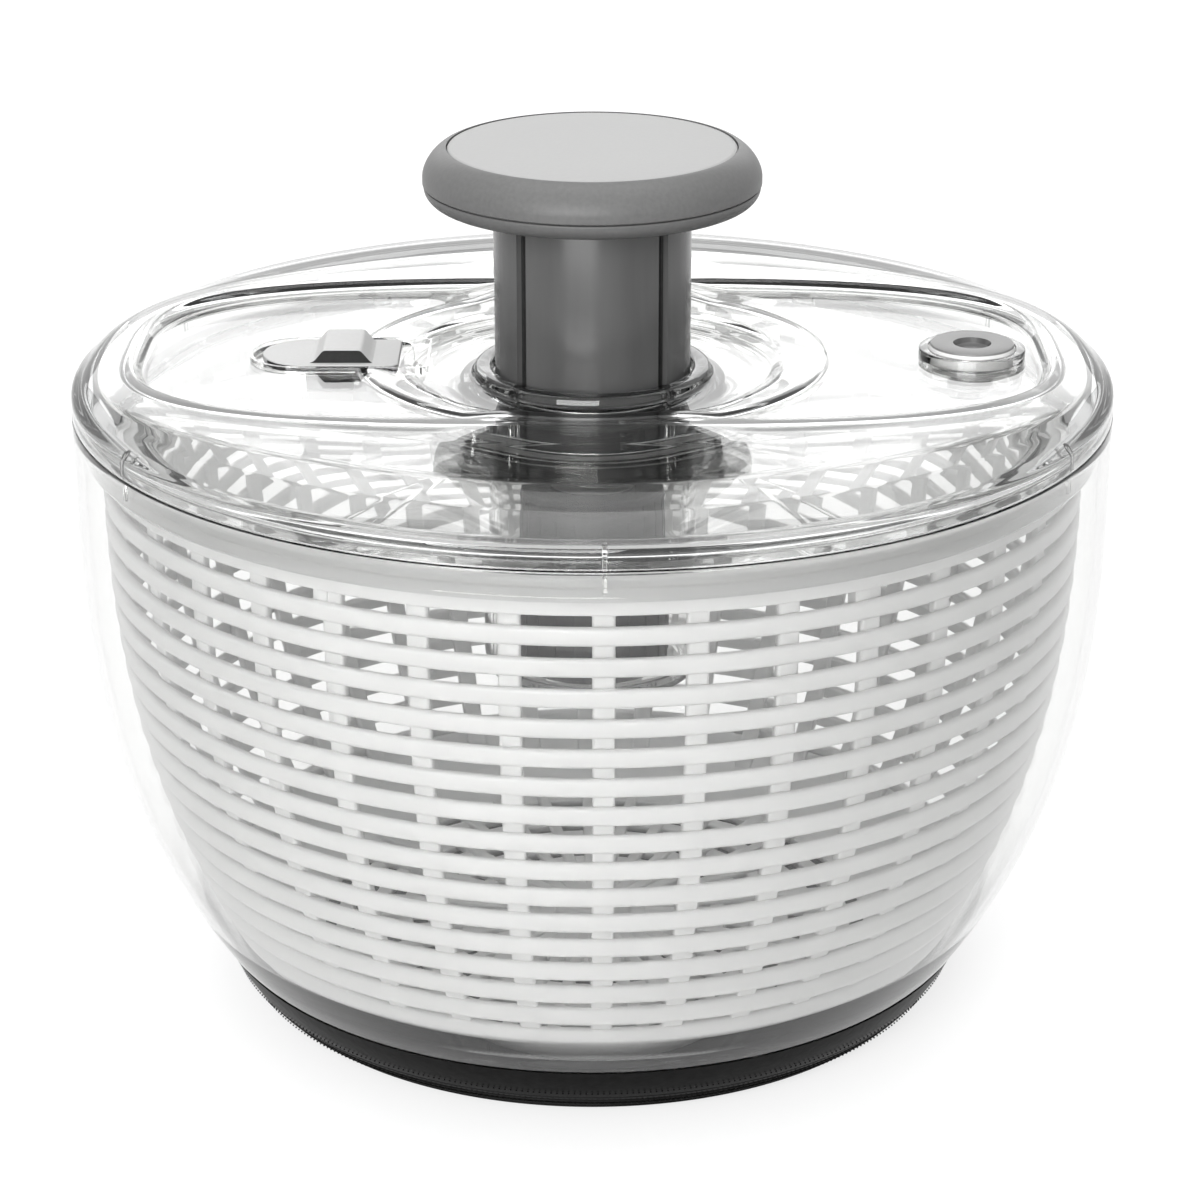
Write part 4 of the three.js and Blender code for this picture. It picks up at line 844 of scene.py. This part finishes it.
def make_knob():
    wall = 2.4
    inner = KNOB_R - wall
    split = SPLIT_Z
    base = rounded([
        (8, KNOB_Z), (KNOB_R - 7, KNOB_Z), (KNOB_R - 2.6, KNOB_Z + 0.8), (KNOB_R - 0.8, KNOB_Z + 2.6),
        (KNOB_R - 0.35, split - 0.45), (KNOB_R - 1.1, split - 0.35), (inner - 0.3, split - 0.4),
        (inner - 0.3, split + 1.6), (inner - 1.7, split + 1.6), (inner - 1.7, KNOB_Z + 2.5),
        (8, KNOB_Z + 2.5)], 1.5, 5, closed=True)
    reach = KNOB_R - KNOB_CAP_R - GAP
    arc = [math.pi / 2 * k / 20 for k in range(21)]
    widest_z = KNOB_Z + 6.9
    tall = KNOB_TOP - 0.15 - widest_z
    bend = [(KNOB_CAP_R + 0.1 + reach * math.cos(a) ** 1.3, widest_z + tall * math.sin(a) ** 1.2)
            for a in arc]
    seat = KNOB_TOP - 3.0
    rim = [(inner, split), (KNOB_R - 0.7, split - 0.2), (KNOB_R - 0.2, split + 0.2), *bend,
           (KNOB_CAP_R + 0.1, seat), (KNOB_CAP_R - 2, seat), (KNOB_CAP_R - 2, seat - 1.8),
           (inner - 1.2, seat - 2.4), (inner, split + 2.2)]
    cap = [(0, KNOB_TOP - 2.7), (KNOB_CAP_R, KNOB_TOP - 2.7), (KNOB_CAP_R, KNOB_TOP - 0.9),
           (KNOB_CAP_R - 0.35, KNOB_TOP - 0.35), (KNOB_CAP_R - 1.2, KNOB_TOP - 0.14),
           (KNOB_CAP_R * 0.6, KNOB_TOP), (0, KNOB_TOP)]
    settle(put("knob_base_grey", turned("knob base", base, 160), RIM, 40), "plunger", "rim_grey", "knob_base")
    settle(put("knob_ring_grey", turned("knob ring", rim, 192), RIM, 40), "plunger", "rim_grey", "knob_rim")
    settle(put("knob_cap_light", turned("knob cap", cap, 192), CAP, 50), "plunger", "cap_grey", "knob_cap")


# ---- brake and lock ------------------------------------------------------------------------------


def make_brake():
    top = BUTTON_HIGH.z
    low = BUTTON_LOW.z
    dish = [(5.2, top - 0.25), (4.8, top - 0.3), (4.2, top - 1.5), (3.4, top - 1.9), (0, top - 2.0)]
    dish_r, dish_z, stem_z = 4.7 * MM, (top - 0.8) * MM, (top - 2.2) * MM
    under = [(0, low), (2.8, low), (2.8, top - 3.2), (9, top - 3.2), (9, top - 8.2), (10.6, top - 8.2)]
    rim = [(10.6, top - 0.7), (10.4, top - 0.25), (9.9, top)]
    outline = rounded([*under, (10.6, top)], 0.45)[:-1] + rim + dish
    button = put("brake_button_grey", moved(turned("button", outline, 96), BRAKE_X), LOCK_BUTTON, 35)
    shade(button, lambda face: face.center.z < stem_z, NYLON)
    # Painted shade: the dimple's dish takes the column's darker grey in place of the shade inside it.
    shade(button, lambda face: stem_z < face.center.z < dish_z and
          math.hypot(face.center.x - BRAKE_X * MM, face.center.y) < dish_r, COLUMN_GREY_AND_SHADE)
    settle(button, "brake_button", "rim_grey", "brake_button")
    pad_low, pad_high = span("brake_pad")
    seat = pad_low.z + 1.3
    pad = rounded([(0, pad_low.z), (6, pad_low.z), (6, pad_high.z),
                   (3.1, pad_high.z), (3.1, seat), (0, seat)], 0.5)
    settle(put("brake_pad_rubber", moved(turned("pad", pad, 64), BRAKE_X), RUBBER, 35),
           "brake_button", "base_rubber", "brake_pad")


def make_lock():
    """The slider's pad with its raised thumb grip, and the arm under the lid."""
    x0, x1, half = PAD_LOW.x, PAD_HIGH.x, PAD_HIGH.y
    pad_top = PANEL_Z + 1
    pad = prism(slot_outline(x0, x1, half, 1.2), pad_top - 1.9, pad_top, 0.35)
    grip_x = x0 + 12
    grip_half = half - 1.9
    rise = PAD_HIGH.z - pad_top
    side = [(grip_x - 0.6, -0.4), (grip_x + 16.6, -0.4), (grip_x + 15.4, 0.5), (grip_x + 13.4, rise - 0.3),
            (grip_x + 12.8, rise), (grip_x + 4.2, rise), (grip_x + 3.6, rise - 0.3), (grip_x + 1.6, 0.5)]
    outline = rounded(side, 0.5, 3, closed=True)
    count = len(outline)
    verts = [(x, y, pad_top + z) for y in (-grip_half, grip_half) for x, z in outline]
    faces = [tuple(range(count)), tuple(range(count, 2 * count))]
    faces += [(k, (k + 1) % count, count + (k + 1) % count, count + k) for k in range(count)]
    grip = mesh_of("grip", verts, faces)
    neck = slab(x0 + 11, x0 + 23, -4.5, 4.5, PAD_LOW.z + 2.6, pad_top - 1, 0.4)
    piece = put("lock_slider_light", joined("slider", [pad, grip, neck]), LOCK, 30)
    underside = (pad_top - 1.8) * MM
    # Painted shade: the slider's sides facing front and back, and its underside, take the dark material,
    # darker than the top where the light falls.
    shade(piece, lambda face: (face.normal.z < 0.25 and abs(face.normal.y) > 0.5) or face.center.z < underside)
    settle(piece, "lock_slider", "cap_grey", "lock_slider")
    low, high = span("lock_tongue")
    arm = joined("arm", [slab(low.x, high.x, -3, 3, low.z, high.z, 0.4),
                         slab(low.x, low.x + 12, -4.5, 4.5, low.z, high.z, 0.4)])
    settle(put("lock_arm_light", arm, NYLON, 30), "lock_slider", "nylon", "lock_tongue")


# ---- putting it together -------------------------------------------------------------------------


def settle(piece, body, slot, *nodes):
    """The piece rides with a body and stands for frame nodes; the slot it is given is not used."""
    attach(piece, body)
    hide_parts(*nodes)
    return piece


def build():
    settle(make_bowl(), "bowl", "clear_plastic", "bowl")
    settle(make_base(), "bowl", "base_rubber", "non_slip_base")
    settle(make_basket(), "basket", "basket_white", "basket")
    settle(make_lid(), "lid", "clear_plastic", "lid_shell")
    settle(make_drive_disc(), "drive_disc", "clear_plastic", "drive_disc")
    settle(make_clutch(), "drive_disc", "dark_plastic", "clutch_ring")
    settle(make_spindle(), "spindle", "steel", "spiral_spindle")
    settle(make_column(), "plunger", "column_grey", "plunger_tube")
    make_knob()
    make_brake()
    make_lock()
    plain_rings = (
        ("disc_retainer", "lid", "dark_plastic", DARK_AND_SHADE, BORE_R),
        ("thrust_washer", "drive_disc", "nylon", NYLON, BOSS_R + 0.6),
        ("clutch_cap", "drive_disc", "dark_plastic", DARK_AND_SHADE, 4.6),
        ("spring_seat", "drive_disc", "nylon", NYLON, 4.6),
        ("clutch_hub", "spindle", "steel", STEEL, 4.1))
    for node, body, slot, material, bore in plain_rings:
        low, high = span(node)
        square = [(bore, low.z), (high.x, low.z), (high.x, high.z), (bore, high.z)]
        settle(make_ring(node + "_turned", square, material), body, slot, node)
    make_rollers()
    make_screws()
    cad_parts["drive_nut"].data.materials.clear()
    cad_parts["drive_nut"].data.materials.append(NYLON)
    coil("button_spring_wire", "brake_button", "button_spring", 4, 5.6, 0.9, BRAKE_X)
    coil("return_spring_wire", "plunger", "return_spring", 7, 9.5, 1.3)
    button_top, return_top = span("button_spring")[1].z, span("return_spring")[1].z
    for piece, joint, z, keep in (("button_spring_wire", "brake_press", button_top, BUTTON_SPRING_KEEP),
                                  ("return_spring_wire", "pump_press", return_top, RETURN_SPRING_KEEP)):
        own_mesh(bpy.data.objects[piece])


def make_rollers():
    low, high = span("clutch_roller_1")
    rollers = Tree("rollers", Rollers=3, Radius=8.9, Start=math.radians(48))
    pin = rollers.out("GeometryNodeMeshCylinder", {
        "Vertices": 24, "Radius": 1.6 * MM, "Depth": (high.z - low.z) * MM})
    place = rollers.vector(x=rollers.mm("Radius"), z=(low.z + high.z) / 2 * MM)
    one = rollers.out("GeometryNodeTransform", {"Geometry": pin, "Translation": place})
    mesh = rollers.mesh(rollers.ring_of(one, rollers.given["Rollers"], rollers.given["Start"]), STEEL)
    settle(put("clutch_rollers", mesh, STEEL), "drive_disc", "steel",
           "clutch_roller_1", "clutch_roller_2", "clutch_roller_3")


def make_screws():
    """Each set: circle, first angle, head height, which way it faces, head, shank and length."""
    screws("retainer_screws", "lid", [f"retainer_screw_{k}" for k in (1, 2, 3)],
           (BORE_R + BOSS_R) / 2, 90, RETAINER_LOW.z - GAP, -1, 2.4, 1.2, 1.1, 9)
    screws("clutch_screws", "drive_disc", [f"clutch_screw_{k}" for k in (1, 2, 3)],
           11.5, 0, CUP_LOW.z - GAP, -1, 2, 1, 0.9, 30)
    screws("knob_screws", "plunger", [f"knob_screw_{k}" for k in (1, 2, 3)],
           15, 30, KNOB_Z + 2.8, 1, 2.6, 1.4, 1.2, 5)
    screws("nut_screws", "plunger", ["nut_screw_1", "nut_screw_2"],
           16.5, 45, span("drive_nut")[0].z - GAP, -1, 2.6, 1.2, 1.2, 9)


# ---- stage, light and camera ---------------------------------------------------------------------


def make_stage():
    floor = bpy.data.objects.new("floor", bpy.data.meshes.new("floor"))
    half = 12.0
    corners = [(-half, -half, 0), (half, -half, 0), (half, half, 0), (-half, half, 0)]
    floor.data.from_pydata(corners, [], [(0, 1, 2, 3)])
    bpy.context.scene.collection.objects.link(floor)
    material = bpy.data.materials.new("pale floor")
    material.use_nodes = True
    shader = material.node_tree.nodes["Principled BSDF"]
    shader.inputs["Base Color"].default_value = (0.3, 0.3, 0.3, 1)
    shader.inputs["Roughness"].default_value = 0.9
    shader.inputs["Emission Color"].default_value = (1, 1, 1, 1)
    shader.inputs["Emission Strength"].default_value = 0.7
    floor.data.materials.append(material)


def make_world():
    """White studio, darker round the level and the sides so that clear parts get edges."""
    world = bpy.data.worlds.new("studio")
    bpy.context.scene.world = world
    world.use_nodes = True
    nodes, links = world.node_tree.nodes, world.node_tree.links
    sky = nodes["Background"]
    coords = nodes.new("ShaderNodeTexCoord")
    split = nodes.new("ShaderNodeSeparateXYZ")
    links.new(coords.outputs["Generated"], split.inputs[0])

    def ramp(source, stops):
        node = nodes.new("ShaderNodeValToRGB")
        shift = nodes.new("ShaderNodeMapRange")
        shift.inputs["From Min"].default_value = -1.0
        links.new(source, shift.inputs["Value"])
        links.new(shift.outputs["Result"], node.inputs["Fac"])
        node.color_ramp.elements[0].position, node.color_ramp.elements[1].position = stops[0][0], stops[-1][0]
        for position, _ in stops[1:-1]:
            node.color_ramp.elements.new(position)
        for element, (_, grey) in zip(node.color_ramp.elements, stops):
            element.color = (grey, grey, grey, 1)
        return node.outputs["Color"]

    depth = ramp(split.outputs["Y"], [
        (0.0, 1.0), (0.25, 0.8), (0.4, 0.3), (0.5, 0.28), (0.6, 0.8), (0.8, 1.0)])
    lift = ramp(split.outputs["Z"], [(0.0, 0.9), (0.45, 0.0), (0.56, 0.0), (0.8, 0.9), (1.0, 1.0)])
    add = nodes.new("ShaderNodeMixRGB")
    add.blend_type = "LIGHTEN"
    add.inputs["Fac"].default_value = 1.0
    links.new(depth, add.inputs["Color1"])
    links.new(lift, add.inputs["Color2"])
    seen = nodes.new("ShaderNodeLightPath")
    white = nodes.new("ShaderNodeMixRGB")
    links.new(seen.outputs["Is Camera Ray"], white.inputs["Fac"])
    links.new(add.outputs["Color"], white.inputs["Color1"])
    white.inputs["Color2"].default_value = (1, 1, 1, 1)
    links.new(white.outputs["Color"], sky.inputs["Color"])
    sky.inputs["Strength"].default_value = 1.0


def lamp(name, place, aim, size, power):
    data = bpy.data.lights.new(name, "AREA")
    data.shape = "RECTANGLE"
    data.size, data.size_y = size
    data.energy = power
    light = bpy.data.objects.new(name, data)
    light.location = place
    light.rotation_euler = (Vector(aim) - Vector(place)).to_track_quat("-Z", "Y").to_euler()
    bpy.context.scene.collection.objects.link(light)


def make_camera():
    data = bpy.data.cameras.new("camera")
    data.lens = 105.2
    data.sensor_width = 36.0
    data.clip_start, data.clip_end = 0.05, 100.0
    camera = bpy.data.objects.new("camera", data)
    distance, rise, look_z, side = 0.908, math.radians(21.211), 0.10034, 0.0019
    camera.location = (side, -distance * math.cos(rise), look_z + distance * math.sin(rise))
    camera.rotation_euler = (math.pi / 2 - rise, 0, 0)
    bpy.context.scene.collection.objects.link(camera)
    bpy.context.scene.camera = camera


build()
make_stage()
make_world()
lamp("top softbox", (0, 0.1, 1.6), (0, 0, 0.1), (1.6, 1.2), 14)
lamp("front fill", (-0.4, -1.6, 0.7), (0, 0, 0.1), (1.2, 0.9), 32)
lamp("back window", (0, 2.6, 1.15), (0, 0, 0.16), (3.2, 1.2), 19)
make_camera()
bpy.context.scene.view_settings.view_transform = "Standard"
bpy.context.scene.cycles.transmission_bounces = 14
bpy.context.scene.cycles.max_bounces = 14
